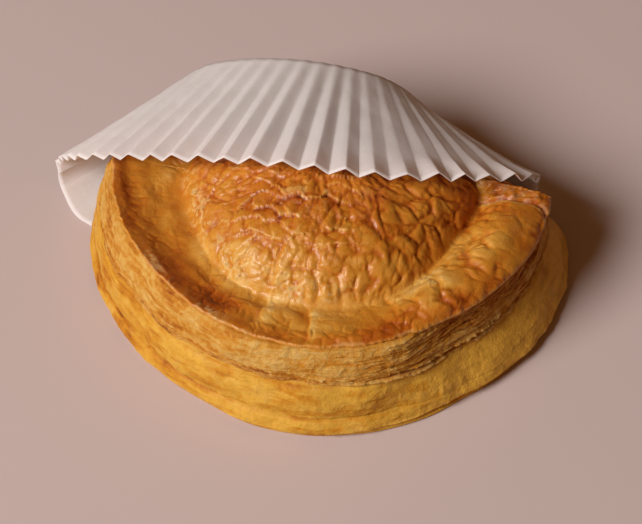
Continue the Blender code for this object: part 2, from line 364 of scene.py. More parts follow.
def add_ramp(tree, share, stops):
    """A colour ramp through (position, colour) stops, driven by a socket."""
    ramp = add_node(tree, "ShaderNodeValToRGB", {"Fac": share})
    band = ramp.color_ramp
    while len(band.elements) < len(stops):
        band.elements.new(1.0)
    for element, (position, colour) in zip(band.elements, stops):
        element.position = position
        element.color = (*colour[:3], 1.0)
    return ramp.outputs["Color"]


def add_grain(tree, place, spans_per_metre, detail=3.0, roughness=0.55):
    """Fine noise on the object's own coordinates."""
    inputs = {"Vector": place, "Scale": spans_per_metre, "Detail": detail, "Roughness": roughness}
    return add_node(tree, "ShaderNodeTexNoise", inputs).outputs["Fac"]


def mix_colour(tree, share, first, second, blend="MIX"):
    mixed = add_node(tree, "ShaderNodeMix", {0: share}, data_type="RGBA", blend_type=blend)
    for key, value in ((6, first), (7, second)):
        if isinstance(value, bpy.types.NodeSocket):
            tree.links.new(value, mixed.inputs[key])
        else:
            mixed.inputs[key].default_value = value
    return mixed.outputs[2]


def baked_pastry(name, tones, dry_colour, shine, gloss, coat, soak, grain_sizes, bump):
    """Baked pastry: its tone follows the baking and the shade and highlights painted into it, dry flakes lie
    pale over it, fine grain breaks both up.
    """
    material = bpy.data.materials.new(name)
    material.use_nodes = True
    tree = material.node_tree
    shader = tree.nodes["Principled BSDF"]
    place = add_node(tree, "ShaderNodeTexCoord").outputs["Object"]
    bake = add_node(tree, "ShaderNodeAttribute", attribute_name="bake").outputs["Fac"]
    dry = add_node(tree, "ShaderNodeAttribute", attribute_name="dry").outputs["Fac"]
    coarse = add_grain(tree, place, grain_sizes[0], detail=4.0)
    fine = add_grain(tree, place, grain_sizes[1], detail=3.0, roughness=0.65)
    shift = add_math(tree, "MULTIPLY_ADD", coarse, 0.20, -0.10)
    shift = add_math(tree, "MULTIPLY_ADD", fine, 0.12, add_math(tree, "SUBTRACT", shift, 0.06))
    colour = add_ramp(tree, add_math(tree, "ADD", bake, shift), tones)
    patch = add_math(tree, "MULTIPLY", dry, add_math(tree, "MULTIPLY_ADD", fine, 1.1, 0.25))
    colour = mix_colour(tree, patch, colour, dry_colour)
    tree.links.new(colour, shader.inputs["Base Color"])
    rough = add_math(tree, "MULTIPLY_ADD", dry, 0.35, gloss)
    tree.links.new(add_math(tree, "MULTIPLY_ADD", fine, 0.18, rough), shader.inputs["Roughness"])
    bumped = add_node(tree, "ShaderNodeBump", {"Height": fine, "Strength": bump[0], "Distance": bump[1]})
    tree.links.new(bumped.outputs["Normal"], shader.inputs["Normal"])
    shader.inputs["Specular IOR Level"].default_value = shine
    shader.inputs["Coat Weight"].default_value = coat[0]
    shader.inputs["Coat Roughness"].default_value = coat[1]
    shader.inputs["Subsurface Weight"].default_value = soak
    shader.inputs["Subsurface Radius"].default_value = (1.0, 0.45, 0.15)
    shader.inputs["Subsurface Scale"].default_value = 0.0012
    return material


# The lid's sizes are the solid's, in the pie's own millimetres; this shift puts them in the frame.
turn = np.linspace(0.0, 2.0 * math.pi, 96, endpoint=False)
outlines = []
for leaf, swell in enumerate(LEAF_SWELL):
    for share in (0.06, 0.3, 0.6, 0.94):
        foot, head = side_mix(LEAF_FOOT_INSET[leaf], turn), side_mix(LEAF_HEAD_INSET[leaf], turn)
        inset = foot + (head - foot) * share - swell * math.sin(math.pi * share)
        inset = inset - SIDE_WAVE * wave(turn, float(leaf))
        square = LEAF_SQUARENESS[leaf] + (LEAF_SQUARENESS[leaf + 1] - LEAF_SQUARENESS[leaf]) * share
        outlines.append(np.stack(half_moon(turn, inset, square), axis=1))
outlines = np.concatenate(outlines)
pie_low, pie_high = (np.array(corner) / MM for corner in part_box("pie"))
TO_FRAME = np.array((*((pie_low + pie_high)[:2] - outlines.min(0) - outlines.max(0)) / 2, 0.0))

reach, angle, lid_faces, lid_border = round_disc(LID_POINTS_ACROSS)
lid_points = lid_surface(reach, angle)
edge_points = lid_points[lid_border]
inward = np.array((*CREST, 0.0)) - edge_points
inward[:, 2] = 0.0
inward /= np.linalg.norm(inward, axis=1)[:, None]
tuck_rings = [edge_points + inward * move + np.array((0.0, 0.0, drop)) for move, drop in TUCKS]
lid_pole = np.array((*CREST, TUCK_MIDDLE_HEIGHT))
smooth_lid, lid_faces = add_rings(lid_points, lid_faces, lid_border, tuck_rings, lid_pole)
lid_mesh, lid_out = mesh_of("pie_lid", smooth_lid, lid_faces)

count = len(lid_points)
top = smooth_lid[:count]
away = top[:, :2] - np.array(CREST)
from_crest = np.linalg.norm(away, axis=1)
around = np.arctan2(away[:, 1], away[:, 0])
on_dome = smooth_step(GROOVE_AT + 0.02, GROOVE_AT - 0.06, reach)
on_rim = 1.0 - on_dome
near_edge = smooth_step(0.93, 1.0, reach)
to_right = smooth_step(-4.0, 30.0, top[:, 0])
to_left = smooth_step(-8.0, -30.0, top[:, 0])
to_front = smooth_step(-12.0, -30.0, top[:, 1])

# The groove is a soft valley, so the net is smoothed along it.
across = LID_POINTS_ACROSS
net = top.reshape(across, across, 3).copy()
near_groove = band(reach, GROOVE_AT, GROOVE_SOFT_WIDTH).reshape(across, across, 1)[1:-1, 1:-1]
for _ in range(GROOVE_SOFTENING):
    even = (net[:-2, 1:-1] + net[2:, 1:-1] + net[1:-1, :-2] + net[1:-1, 2:]) / 4.0
    net[1:-1, 1:-1] += (even - net[1:-1, 1:-1]) * near_groove
top = net.reshape(-1, 3)

# The dome: pillowy bumps parted by partial creases, deepest on the right; in the middle torn sheets
# that overlap like scales, and at its left foot pale crumbs. All are drawn out down the slope. Here
# and below, a relief is a sum of soft masks weighted in millimetres, and the number added to the
# points under a pattern only picks another stretch of the same noise.
grown = warped(warped(top, 7.0, 2.2), 2.4, 0.8)
ring = DOME_RING * np.cos(around), DOME_RING * np.sin(around), from_crest / DOME_DRAWN_OUT
bump_place = warped(warped(np.stack(ring, axis=1), 5.0, 1.5), 2.0, 0.5)
big_bump, big_tone, _ = blisters(bump_place + 90.0, BIG_BUMP_SPAN)
small_bump, _, _ = blisters(bump_place + 37.0, SMALL_BUMP_SPAN)
fine_bump, _, _ = blisters(warped(top, 1.6, 0.5) + 40.0, FINE_BUMP_SPAN)
sheet_place = grown * np.array((0.75, 1.3, 1.0))
sheet_rise, sheet_tone, sheet_lean = blisters(sheet_place, TORN_SHEET_SPAN, TORN_SHEET_DOWN)
big_fade = smooth_step(-0.55, 0.05, noise_at(top + 14.0, 4.5, 2))
small_fade = smooth_step(-0.25, 0.25, noise_at(top + 54.0, 3.5, 2))
low_slope = smooth_step(-21.0, -30.0, top[:, 1])
on_left = smooth_step(-12.0, -26.0, top[:, 0])
bumpy = smooth_step(2.0, 14.0, top[:, 0])
scaly = (1.0 - bumpy) * (1.0 - 0.8 * on_left) * smooth_step(-31.0, -25.0, top[:, 1])
scaly *= smooth_step(-0.5, 0.1, noise_at(top + 11.0, 7.0, 2))
crumbs = noise_at(warped(top, 1.5, 0.5) + 44.0, 1.1, 3)
big_line = smooth_step(0.16, 0.0, big_bump) * big_fade
small_line = smooth_step(0.14, 0.0, small_bump) * small_fade
cuts = crease(big_bump, 0.55) * big_fade + 0.5 * (crease(small_bump, 0.5) * small_fade)
relief = 0.22 * noise_at(top + 66.0, 5.0, 2) + 0.14 - CREASE_DEPTH * (1.0 - 0.45 * scaly) * cuts
relief += 0.20 * (big_tone - 0.5) + 0.05 * noise_at(top, 0.9, 3)
relief += 0.10 * (smooth_step(0.0, 0.40, fine_bump) - 0.7) * (1.0 - 0.6 * bumpy)
sheet_edge = smooth_step(0.20, 0.03, sheet_rise + 0.08 * crumbs)
upper_edge = sheet_edge * smooth_step(0.05, 0.35, sheet_lean)
under_edge = sheet_edge * smooth_step(-0.05, -0.30, sheet_lean)
sheets = TORN_SHEET_STEP * sheet_lean + 0.16 * (sheet_tone - 0.5)
relief += scaly * (sheets + 0.10 * upper_edge - 0.10 * under_edge)
flutes = noise_at(bump_place * np.array((1.0, 1.0, 0.3)) + 15.0, 2.6, 2)
relief += 0.30 * flutes * low_slope * (1.0 - 0.7 * bumpy)
foot_crumbs = smooth_step(0.55, 0.63, reach) * smooth_step(0.725, 0.67, reach)
foot_crumbs *= smooth_step(14.0, -2.0, top[:, 0])
foot_crumbs *= smooth_step(-0.35, 0.15, noise_at(top + 70.0, 5.0, 2))
relief += foot_crumbs * (0.42 * noise_at(warped(top, 3.0, 1.0) + 8.0, 1.9, 3) + 0.12)

# The rim: broad soft swells, folds part of the way across it with painted shade in the dip before each fold
# and a painted highlight just past it, fine wrinkles on the left, and lumps on the fat right roll.
rim_place = np.stack((RIM_RING * np.cos(angle), RIM_RING * np.sin(angle), reach * RIM_WIDTH), axis=1)
broad = noise_at(warped(top, 9.0, 2.0) + 20.0, 7.0, 2)
wrinkle = noise_at(warped(rim_place * np.array((1.0, 1.0, 0.3)), 3.0, 0.7), 1.1, 2)
wrinkled = smooth_step(0.0, 0.4, noise_at(top + 3.0, 7.0)) * (0.15 + 0.85 * to_left)
lump_rise, lump_tone, _ = blisters(warped(warped(top, 7.0, 1.4), 2.5, 0.6) + 9.0, RIM_LUMP_SPAN)
dimple_rise, dimple_tone, _ = blisters(warped(warped(top, 5.0, 1.2), 1.6, 0.5) + 21.0, RIM_DIMPLE_SPAN)
lumpy = smooth_step(10.0, 24.0, top[:, 0])
rim_fade = smooth_step(-0.3, 0.3, noise_at(top + 31.0, 6.0, 2))
fold_relief, fold_shade_and_highlight = np.zeros(count), np.zeros(count)
fold_drift = FOLD_RUN * noise_at(rim_place * np.array((0.3, 0.3, 1.0)), 7.0, 3)
fold_drift += 0.5 * noise_at(rim_place, 2.0, 2)
for fold_angle, depth, start, stop in RIM_FOLDS:
    along = ((angle - fold_angle + math.pi) % (2.0 * math.pi) - math.pi) * FOLD_RING + fold_drift
    length = smooth_step(start - 0.04, start + 0.04, reach) * smooth_step(stop + 0.04, stop - 0.04, reach)
    before = np.exp(np.minimum(along, 0.0) / FOLD_RUN) * smooth_step(0.35, 0.0, along) * length
    fold_relief -= FOLD_DEPTH * depth * before
    # Painted shade in the dip before the fold, and a painted highlight just past it.
    fold_shade_and_highlight += 0.8 * depth * before - 0.7 * depth * band(along, 1.1, 1.0) * length
rim_relief = 0.34 * broad + fold_relief + 0.09 * wrinkle * wrinkled + 0.04 * noise_at(top, 1.0, 2)
rim_relief += (0.15 - 0.75 * crease(lump_rise, 0.6)) * lumpy * (0.3 + 0.7 * rim_fade)
dimples = (0.08 - 0.34 * crease(dimple_rise, 0.5)) * rim_fade
rim_relief += dimples * (0.5 + 0.5 * np.maximum(lumpy, to_front))
# Where the rim creases between lumps, wrinkles and dimples; the tone below darkens them, partly browning and
# partly painted shade.
rim_crease = smooth_step(0.20, 0.0, lump_rise) * lumpy * rim_fade
rim_crease += 0.30 * smooth_step(0.2, 0.6, -wrinkle) * wrinkled
rim_crease += 0.30 * smooth_step(0.16, 0.0, dimple_rise) * rim_fade

# The roll ends in a rounded turn on the right; past it the rough sheet underneath shows.
end_x, end_y, end_radius = ROLL_END
round_turn = np.hypot(top[:, 0] - end_x, top[:, 1] - end_y) - end_radius
beyond = np.where(top[:, 0] > end_x, round_turn, top[:, 1] - end_y - end_radius)
beyond = np.where(top[:, 1] > end_y, beyond, -9.0) + 0.5 * noise_at(top + 12.0, 4.0, 2)
at_end = smooth_step(30.0, 35.0, top[:, 0])
end_crease = band(beyond, 0.4, 0.42) * at_end
end_edge = band(beyond, -0.3, 0.35) * at_end
past_end = smooth_step(0.2, 1.0, beyond) * at_end
rim_relief += past_end * (0.55 * noise_at(warped(top, 2.0, 0.8) + 18.0, 1.8, 3)) - 1.0 * end_crease

# The frayed edge, and the right roll that leans out and down over it. The tuck under the edge follows.
roll_over = smooth_step(16.0, 34.0, top[:, 0]) * smooth_step(8.0, -4.0, top[:, 1])
fray = noise_at(rim_place, LID_EDGE_SPAN, 3) + 0.6 * noise_at(rim_place, 1.2, 2)
fray *= 1.0 - 0.8 * roll_over
height_change = relief * on_dome + rim_relief * on_rim * (1.0 - 0.5 * near_edge)
lid_final = smooth_lid.copy()
lid_final[:count] = top + lid_out[:count] * height_change[:, None]
edge_pull = LID_EDGE_WANDER * fray * smooth_step(0.95, 1.0, reach)
edge_pull -= ROLL_OUT * roll_over * smooth_step(0.80, 0.97, reach)
lid_final[:count, 2] -= ROLL_DOWN * roll_over * smooth_step(0.86, 1.0, reach)
inward_all = -np.stack((away[:, 0], away[:, 1], np.zeros(count)), axis=1)
inward_all /= np.maximum(from_crest, 1.0)[:, None]
lid_final[:count] += inward_all * edge_pull[:, None]
edge_move = lid_final[lid_border] - smooth_lid[lid_border]
for index, follow in enumerate((1.0, 1.0, 0.5, 0.0)):
    ring = slice(count + index * len(lid_border), count + (index + 1) * len(lid_border))
    lid_final[ring] += edge_move * follow

# How far each point is baked, from 0, pale, to 1, burnt, with painted shade and painted highlights added in
# places, and how thickly dry flakes cover it.
cloud = noise_at(top, 12.0, 3)
patch = noise_at(warped(top, 4.0, 1.2) + 60.0, 3.2, 3)
speck = noise_at(top + 80.0, 0.8, 2)
tone = 0.385 + 0.07 * cloud + 0.08 * patch + 0.06 * speck
upper_slope = (1.0 - low_slope) * (1.0 - 0.5 * on_left)
tone += on_dome * (0.02 + 0.07 * (big_tone - 0.5) + 0.06 * upper_slope - 0.03 * bumpy)
# Darker in the creases between the blisters and paler on their tops: partly the crust's own browning, partly
# painted shade in the creases and a painted highlight on the tops.
lines = (0.24 + 0.02 * bumpy) * (big_line + 0.7 * small_line)
tone += on_dome * (lines - 0.12 * smooth_step(0.3, 0.8, big_bump))
tone += 0.05 * on_dome * smooth_step(-26.0, -14.0, top[:, 1])
# Painted shadow: a dark line darkens the sheet just under each torn sheet's overhanging edge; the torn edge
# itself is paler dough.
tone += on_dome * scaly * (0.10 * (sheet_tone - 0.5) + 0.26 * under_edge - 0.20 * upper_edge)
rim_tone = 0.06 * cloud + 0.24 * rim_crease + fold_shade_and_highlight - 0.12 * broad + 0.10 * (lump_tone - 0.5) * lumpy
rim_tone -= 0.02 + 0.06 * smooth_step(0.84, 0.74, reach)
rim_tone += 0.05 * to_left - 0.03 * to_front - (0.05 + 0.07 * to_front) * (dimple_tone - 0.5)
# Painted shade: a dark line in the crease where the roll ends; its turned edge is paler, with dry flakes.
rim_tone += 0.30 * end_crease - 0.30 * end_edge + past_end * (0.16 + 0.25 * crumbs)
tone += on_rim * rim_tone
tone += 0.15 * smooth_step(0.86, 0.97, reach) - 0.08 * smooth_step(0.985, 1.0, reach)
tone += spots_at(top, BROWNED_SPOTS) - spots_at(top, PALE_SPOTS) * 0.7
# Painted shade: a darker line along the groove at the dome's foot on the left.
tone += 0.09 * band(reach - GROOVE_AT, 0.01, 0.02) * to_left
tone -= 0.10 * foot_crumbs * smooth_step(-0.2, 0.2, crumbs)
flecks = smooth_step(-0.05, 0.28, crumbs)
edge_flecks = smooth_step(0.05, 0.45, noise_at(rim_place + 3.0, 2.6, 3))
dry = on_dome * scaly * upper_edge * (0.15 + 0.4 * flecks) + 0.7 * spots_at(top, PALE_SPOTS) * flecks
shed = 0.22 * on_dome * flecks * smooth_step(0.1, 0.5, patch) * (1.0 - 0.7 * bumpy)
dry += 0.7 * foot_crumbs * flecks + shed
dry += 0.45 * smooth_step(0.985, 1.0, reach) * edge_flecks * (1.0 - 0.8 * roll_over)
dry += on_rim * (0.5 * end_edge + 0.35 * past_end * flecks)
dry += 0.9 * spots_at(top, FRILLED_SPOTS) * smooth_step(0.93, 0.98, reach) * flecks
extra = len(smooth_lid) - count
shades = {"bake": with_hidden(tone, extra, 0.36), "dry": with_hidden(dry, extra, 0.15)}

egg_washed = baked_pastry(
    "egg_washed_crust", EGG_WASH_TONES, DRY_FLAKE_COLOUR,
    shine=0.26, gloss=0.28, coat=(0.20, 0.15), soak=0.15, grain_sizes=(420.0, 2100.0), bump=(0.5, 0.0003),
)
pie_lid = finish_piece(lid_mesh, lid_final + TO_FRAME, shades, egg_washed)
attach(pie_lid, "root")
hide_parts("pie")

# ---- The leafy side
# The cut edge of the folded pastry under the lid: many paper-thin leaves of dough that rose apart
# as the butter between them steamed off. They were cut with the round and are held by the filling.

SIDE_COLUMNS_FRONT = 760
SIDE_COLUMNS_BACK = 250
SIDE_ROWS = 92
SIDE_TONES = (
    (0.00, (0.70, 0.45, 0.155)),
    (0.25, (0.63, 0.345, 0.076)),
    (0.45, (0.56, 0.235, 0.024)),
    (0.65, (0.43, 0.14, 0.010)),
    (0.82, (0.24, 0.060, 0.007)),
    (1.00, (0.09, 0.020, 0.004)),
)
DRY_LEAF_COLOUR = (0.68, 0.43, 0.135, 1.0)
SIDE_TOP_TUCK = 1.2
SIDE_TOP_DROP = -0.1
SEAM_ROUND = 0.09
LEAF_THICKNESS = 0.85
THIN_LEAF_THICKNESS = 0.42
UNDER_ROLL_DEPTH = 1.3


def side_surface(leaf, share, angle):
    """Points of one thick leaf of the side, from its foot (share 0) to its head (share 1)."""
    foot, head = side_mix(LEAF_FOOT[leaf], angle), side_mix(LEAF_HEAD[leaf], angle)
    foot_inset, head_inset = side_mix(LEAF_FOOT_INSET[leaf], angle), side_mix(LEAF_HEAD_INSET[leaf], angle)
    inset = foot_inset + (head_inset - foot_inset) * share - LEAF_SWELL[leaf] * np.sin(math.pi * share)
    inset = inset - SIDE_WAVE * wave(angle, float(leaf))
    square = LEAF_SQUARENESS[leaf] + (LEAF_SQUARENESS[leaf + 1] - LEAF_SQUARENESS[leaf]) * share
    z = foot + (head - foot) * share
    x, y = half_moon(angle, inset, square)
    return np.stack((x, y, z + lift_over_paper(y, z)), axis=1)


def ring_angles():
    front = np.linspace(math.pi, 2.0 * math.pi, SIDE_COLUMNS_FRONT, endpoint=False)
    return np.concatenate((front, np.linspace(0.0, math.pi, SIDE_COLUMNS_BACK, endpoint=False)))


def tube_faces(rows, columns):
    return [
        (row * columns + index, row * columns + (index + 1) % columns,
         (row + 1) * columns + (index + 1) % columns, (row + 1) * columns + index)
        for row in range(rows - 1)
        for index in range(columns)
    ]


def leaf_edges(angle, height, thickness, wander, seed):
    """Thin leaves seen edge-on: how far each stands out (-1 to 1), how deep a point lies in the gap
    between two (0 to 1), and how open that gap is."""
    ring = np.stack((52.0 * np.cos(angle), 52.0 * np.sin(angle), np.zeros(len(angle))), axis=1)
    lift = np.array((0.0, 0.0, 1.0))
    drift = noise_at(ring + lift * (height * 1.6 + seed)[:, None], 15.0, 3)
    drift += 0.35 * noise_at(ring + lift * (height * 3.0 + seed)[:, None], 4.5, 2)
    place = (height + wander * drift) / thickness
    number = np.floor(place)
    across = place - number
    stand = noise_at(ring + lift * (number * 31.7 + seed)[:, None], 11.0, 3)
    stand += 0.5 * noise_at(ring + lift * (number * 17.3 + seed)[:, None], 3.0, 2)
    open_gap = smooth_step(-0.3, 0.5, noise_at(ring + lift * (number * 9.1 + seed + 50.0)[:, None], 9.0, 2))
    gap = smooth_step(0.32, 0.06, np.minimum(across, 1.0 - across)) * (0.3 + 0.7 * open_gap)
    return stand, gap, open_gap


columns = ring_angles()
side_rows = np.linspace(0.0, 1.0, SIDE_ROWS)
side_share, side_angle = (part.ravel() for part in np.meshgrid(side_rows, columns, indexing="ij"))
side_points = side_surface(2, side_share, side_angle)
side_faces = tube_faces(SIDE_ROWS, len(columns))
side_border = list(range((SIDE_ROWS - 1) * len(columns), SIDE_ROWS * len(columns)))
top_ring = side_points[side_border]
foot_ring = side_points[: len(columns)]


def pulled_in(ring, move, drop):
    """A ring moved towards the pie's middle and down."""
    toward = np.array((*CREST, 0.0)) - ring
    toward[:, 2] = 0.0
    toward /= np.linalg.norm(toward, axis=1)[:, None]
    return ring + toward * move - np.array((0.0, 0.0, drop))


smooth_side, side_faces = add_rings(
    side_points, side_faces, side_border,
    [pulled_in(top_ring, SIDE_TOP_TUCK, SIDE_TOP_DROP), pulled_in(top_ring, 3.0, 6.0)],
    np.array((*CREST, 14.0)),
)
smooth_side, side_faces = add_rings(
    smooth_side, side_faces, list(range(len(columns))), [pulled_in(foot_ring, 2.0, 0.3)],
    np.array((*CREST, 12.0)),
)
side_mesh, side_out = mesh_of("pie_side", smooth_side, side_faces)
count = len(side_points)
body = side_points
flat_out = side_out[:count].copy()
flat_out[:, 2] *= 0.3
crumbly = smooth_step(4.0, 26.0, body[:, 0]) * smooth_step(0.4, -0.1, np.sin(side_angle))
rise = body[:, 2] - 13.6
stand, gap, open_gap = leaf_edges(side_angle, rise, LEAF_THICKNESS, 0.9, 3.0)
thin_stand, thin_gap, _ = leaf_edges(side_angle, rise, THIN_LEAF_THICKNESS, 0.7, 90.0)
above_seam = rise + 1.6 * noise_at(body + 17.0, 11.0, 2)
laminated = np.maximum(smooth_step(4.6, 1.6, above_seam), crumbly)
seam_lines = smooth_step(3.2, 1.8, above_seam) * (1.0 - crumbly)
stripes = smooth_step(0.25, 0.6, noise_at(body * np.array((1.0, 1.0, 2.0)) + 5.0, 9.0, 2))
laminated = np.maximum(laminated, 0.75 * stripes)
foot = smooth_step(SEAM_ROUND, 0.0, side_share)
head = smooth_step(1.0 - SEAM_ROUND, 1.0, side_share)
seam_place = side_share + 0.03 * noise_at(body * np.array((1.0, 1.0, 0.0)) + 51.0, 5.0, 3)
ridge = band(seam_place, 0.05, 0.04) * crumbly
twin = band(seam_place, 0.19, 0.035) * smooth_step(14.0, 24.0, body[:, 0])
twin *= smooth_step(46.0, 38.0, body[:, 0])
slot = band(seam_place, 0.12, 0.035) * crumbly
under_roll = smooth_step(0.22, 0.60, seam_place) * smooth_step(16.0, 34.0, body[:, 0]) * crumbly
frill = noise_at(warped(body, 1.4, 0.5) + 61.0, 1.5, 3)
push = (0.10 + 0.16 * laminated + 0.14 * crumbly) * stand
push += (0.03 + 0.09 * laminated + 0.10 * crumbly) * thin_stand
gap_depth = (0.06 + 0.14 * laminated + 0.25 * crumbly) * gap * open_gap
push -= gap_depth + (0.12 * laminated + 0.12 * crumbly) * thin_gap
push += 0.55 * noise_at(body, 6.5, 2) * (1.0 - 0.5 * crumbly) + 0.05 * noise_at(body, 0.9, 2)
push += (0.85 + 0.4 * frill) * ridge + (0.6 + 0.4 * frill) * twin - 0.7 * slot - UNDER_ROLL_DEPTH * under_roll
push -= 0.20 * foot * (1.0 - crumbly) + 0.15 * head
crumb = noise_at(warped(body, 1.5, 0.6) + 23.0, 1.3, 3)
push += 0.13 * crumb
side_final = smooth_side.copy()
side_final[:count] = body + flat_out * push[:, None]

blotch = smooth_step(-0.15, 0.45, noise_at(warped(body * np.array((0.4, 0.4, 1.6)), 5.0, 1.6) + 25.0, 4.0, 3))
streak = smooth_step(0.15, 0.5, noise_at(warped(body * np.array((0.4, 0.4, 2.4)), 4.0, 0.8) + 82.0, 2.6, 2))
tone = 0.21 + 0.07 * noise_at(body, 10.0, 2) + 0.22 * blotch + 0.14 * streak
tone += 0.06 * noise_at(body, 0.8, 2) + 0.09 * smooth_step(-8.0, -42.0, body[:, 0])
tone -= 0.13 * crumb
# Painted shade in the gaps between the leaves and along the seam lines, and a painted highlight on the leaves
# that stand out.
tone += (0.05 + 0.12 * laminated + 0.12 * crumbly) * gap * (0.4 + 0.6 * open_gap)
tone += (0.02 + 0.18 * laminated) * thin_gap + 0.06 * laminated - 0.08 * stand * laminated
tone += seam_lines * (0.05 + 0.14 * thin_gap + 0.03 * gap) + 0.12 * foot * (1.0 - crumbly) + 0.06 * head
# Painted shade in the slot under the ridge and under the fat roll; the ridge and its twin are paler, a
# painted highlight.
tone += 0.30 * slot - 0.22 * ridge - 0.16 * twin + 0.16 * under_roll
tone += 0.10 * band(body[:, 0], 13.0, 7.0) * smooth_step(0.2, 0.5, side_share) * (body[:, 1] < 0.0)
dry = 0.24 * smooth_step(0.0, 0.7, stand) * laminated * (1.0 - 0.7 * under_roll) + 0.30 * ridge
shed = 0.25 * smooth_step(0.05, 0.5, noise_at(body + 9.0, 4.0, 3)) * (1.0 - blotch)
dry += shed + 0.20 * smooth_step(0.1, 0.4, crumb)
extra = len(smooth_side) - count
shades = {"bake": with_hidden(tone, extra, 0.5), "dry": with_hidden(dry, extra, 0.0)}
leafy_crust = baked_pastry(
    "leafy_crust", SIDE_TONES, DRY_LEAF_COLOUR, shine=0.12, gloss=0.50, coat=(0.02, 0.4), soak=0.18,
    grain_sizes=(500.0, 2400.0), bump=(0.7, 0.00035),
)
pie_side = finish_piece(side_mesh, side_final + TO_FRAME, shades, leafy_crust)
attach(pie_side, "root")
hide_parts("pie")

# ---- The bottom sheets
# The two lower sheets of dough that carry the filling. They spread out into a soft yellow lip that
# rests on the paper and the table, and they are closed flat underneath.

BOTTOM_ROWS = (38, 50)
BOTTOM_TONES = (
    (0.00, (0.84, 0.455, 0.060)),
    (0.25, (0.66, 0.350, 0.045)),
    (0.45, (0.58, 0.25, 0.018)),
    (0.65, (0.44, 0.145, 0.009)),
    (0.82, (0.24, 0.065, 0.006)),
    (1.00, (0.09, 0.020, 0.004)),
)
BLISTER = (31.5, -42.0, 5.0, 4.2)
BASE_INSET = 1.6
BASE_SHARES = (0.995, 0.9, 0.7, 0.45, 0.2)

rows = []
for leaf, amount in enumerate(BOTTOM_ROWS):
    rows += [(leaf, share) for share in np.linspace(0.0, 1.0, amount)]
rows.append((2, 0.06))
bottom_points = np.concatenate([
    side_surface(leaf, np.full(len(columns), share), columns) for leaf, share in rows
])
leaf_of = np.repeat([leaf for leaf, _ in rows], len(columns))
share_of = np.repeat([share for _, share in rows], len(columns))
bottom_angle = np.tile(columns, len(rows))

# On the right the two sheets have baked into one wide smooth lip, so the step between them is bridged.
low_z, high_z = 2.0, side_mix(LEAF_HEAD[1], bottom_angle)
climb = np.clip((bottom_points[:, 2] - low_z) / (high_z - low_z), 0.0, 1.0)
lip_inset = 1.3 + (side_mix(LEAF_HEAD_INSET[1], bottom_angle) - 1.3) * climb - 0.7 * np.sin(math.pi * climb)
lip_push = 1.3 * smooth_step(22.0, 38.0, bottom_points[:, 0])
lip_push *= smooth_step(-8.0, -22.0, bottom_points[:, 1])
lip_inset -= lip_push * (1.0 - climb)
lip_inset -= SIDE_WAVE * (wave(bottom_angle, 0.0) * (1.0 - climb) + wave(bottom_angle, 1.0) * climb)
lip_square = LEAF_SQUARENESS[0] + (LEAF_SQUARENESS[2] - LEAF_SQUARENESS[0]) * climb
lip_x, lip_y = half_moon(bottom_angle, lip_inset, lip_square)
bridged = 0.96 * smooth_step(12.0, 28.0, bottom_points[:, 0])
bridged *= smooth_step(1.2, 2.6, bottom_points[:, 2]) * (leaf_of < 2)
bottom_points[:, 0] += (lip_x - bottom_points[:, 0]) * bridged
bottom_points[:, 1] += (lip_y - bottom_points[:, 1]) * bridged
bottom_faces = tube_faces(len(rows), len(columns))
head_ring = list(range((len(rows) - 1) * len(columns), len(rows) * len(columns)))
bottom_rings = []
for share in BASE_SHARES:
    x, y = half_moon(columns, BASE_INSET, LEAF_SQUARENESS[0])
    x, y = CREST[0] + (x - CREST[0]) * share, CREST[1] + (y - CREST[1]) * share
    bottom_rings.append(np.stack((x, y, lift_over_paper(y, np.zeros(len(y)))), axis=1))
smooth_bottom, bottom_faces = add_rings(
    bottom_points, bottom_faces, head_ring, [pulled_in(bottom_points[head_ring], 2.0, -0.5)],
    np.array((*CREST, 16.0)),
)
smooth_bottom, bottom_faces = add_rings(
    smooth_bottom, bottom_faces, list(range(len(columns))), bottom_rings, np.array((*CREST, PAPER_HOLLOW)),
)
bottom_mesh, bottom_out = mesh_of("pie_bottom", smooth_bottom, bottom_faces)
count = len(bottom_points)
body = bottom_points
to_right = smooth_step(12.0, 28.0, body[:, 0])
stand, gap, open_gap = leaf_edges(bottom_angle, body[:, 2], 1.9, 1.2, 20.0)
fine_stand, fine_gap, _ = leaf_edges(bottom_angle, body[:, 2], 0.7, 0.8, 130.0)
lined = smooth_step(-0.1, 0.5, noise_at(body * np.array((1.0, 1.0, 2.0)) + 33.0, 8.0, 2))
lined *= 1.0 - 0.9 * to_right
seam = np.where(leaf_of == 0, smooth_step(0.90, 1.0, share_of), smooth_step(0.06, 0.0, share_of))
seam = np.maximum(seam, np.where(leaf_of == 1, smooth_step(0.93, 1.0, share_of), 0.0)) * (1.0 - to_right)
seam *= 0.35 + 0.65 * smooth_step(-0.2, 0.4, noise_at(body * np.array((1.0, 1.0, 0.0)) + 72.0, 9.0, 2))
lowest = np.where(leaf_of == 0, 1.0, 0.0)
lip_line = body[:, 2] + 0.35 * noise_at(body * np.array((1.0, 1.0, 0.0)), 7.0, 3)
under_layer = smooth_step(1.9, 1.5, lip_line) * lowest
blister_away = np.linalg.norm((body - BLISTER[:3]) * (1.0, 1.0, 1.2), axis=1) + 1.2 * noise_at(body, 2.5, 2)
blister = smooth_step(BLISTER[3], 0.6 * BLISTER[3], blister_away)
push = (0.10 + 0.14 * lined) * stand + 0.05 * lined * fine_stand
push -= 0.24 * gap * open_gap * lined
push -= 0.08 * fine_gap * lined
push += 0.45 * noise_at(body, 8.0, 2) + 0.07 * noise_at(body, 2.2, 3)
swelling = blister * (0.2 + 0.25 * noise_at(body + 41.0, 2.4, 2))
push += swelling - 0.40 * seam - (0.5 + 0.4 * to_right) * under_layer
flat_out = bottom_out[:count].copy()
flat_out[:, 2] *= 0.4
push *= smooth_step(0.0, 1.5, body[:, 2])
crumb = noise_at(warped(body, 1.8, 0.7) + 29.0, 1.7, 3)
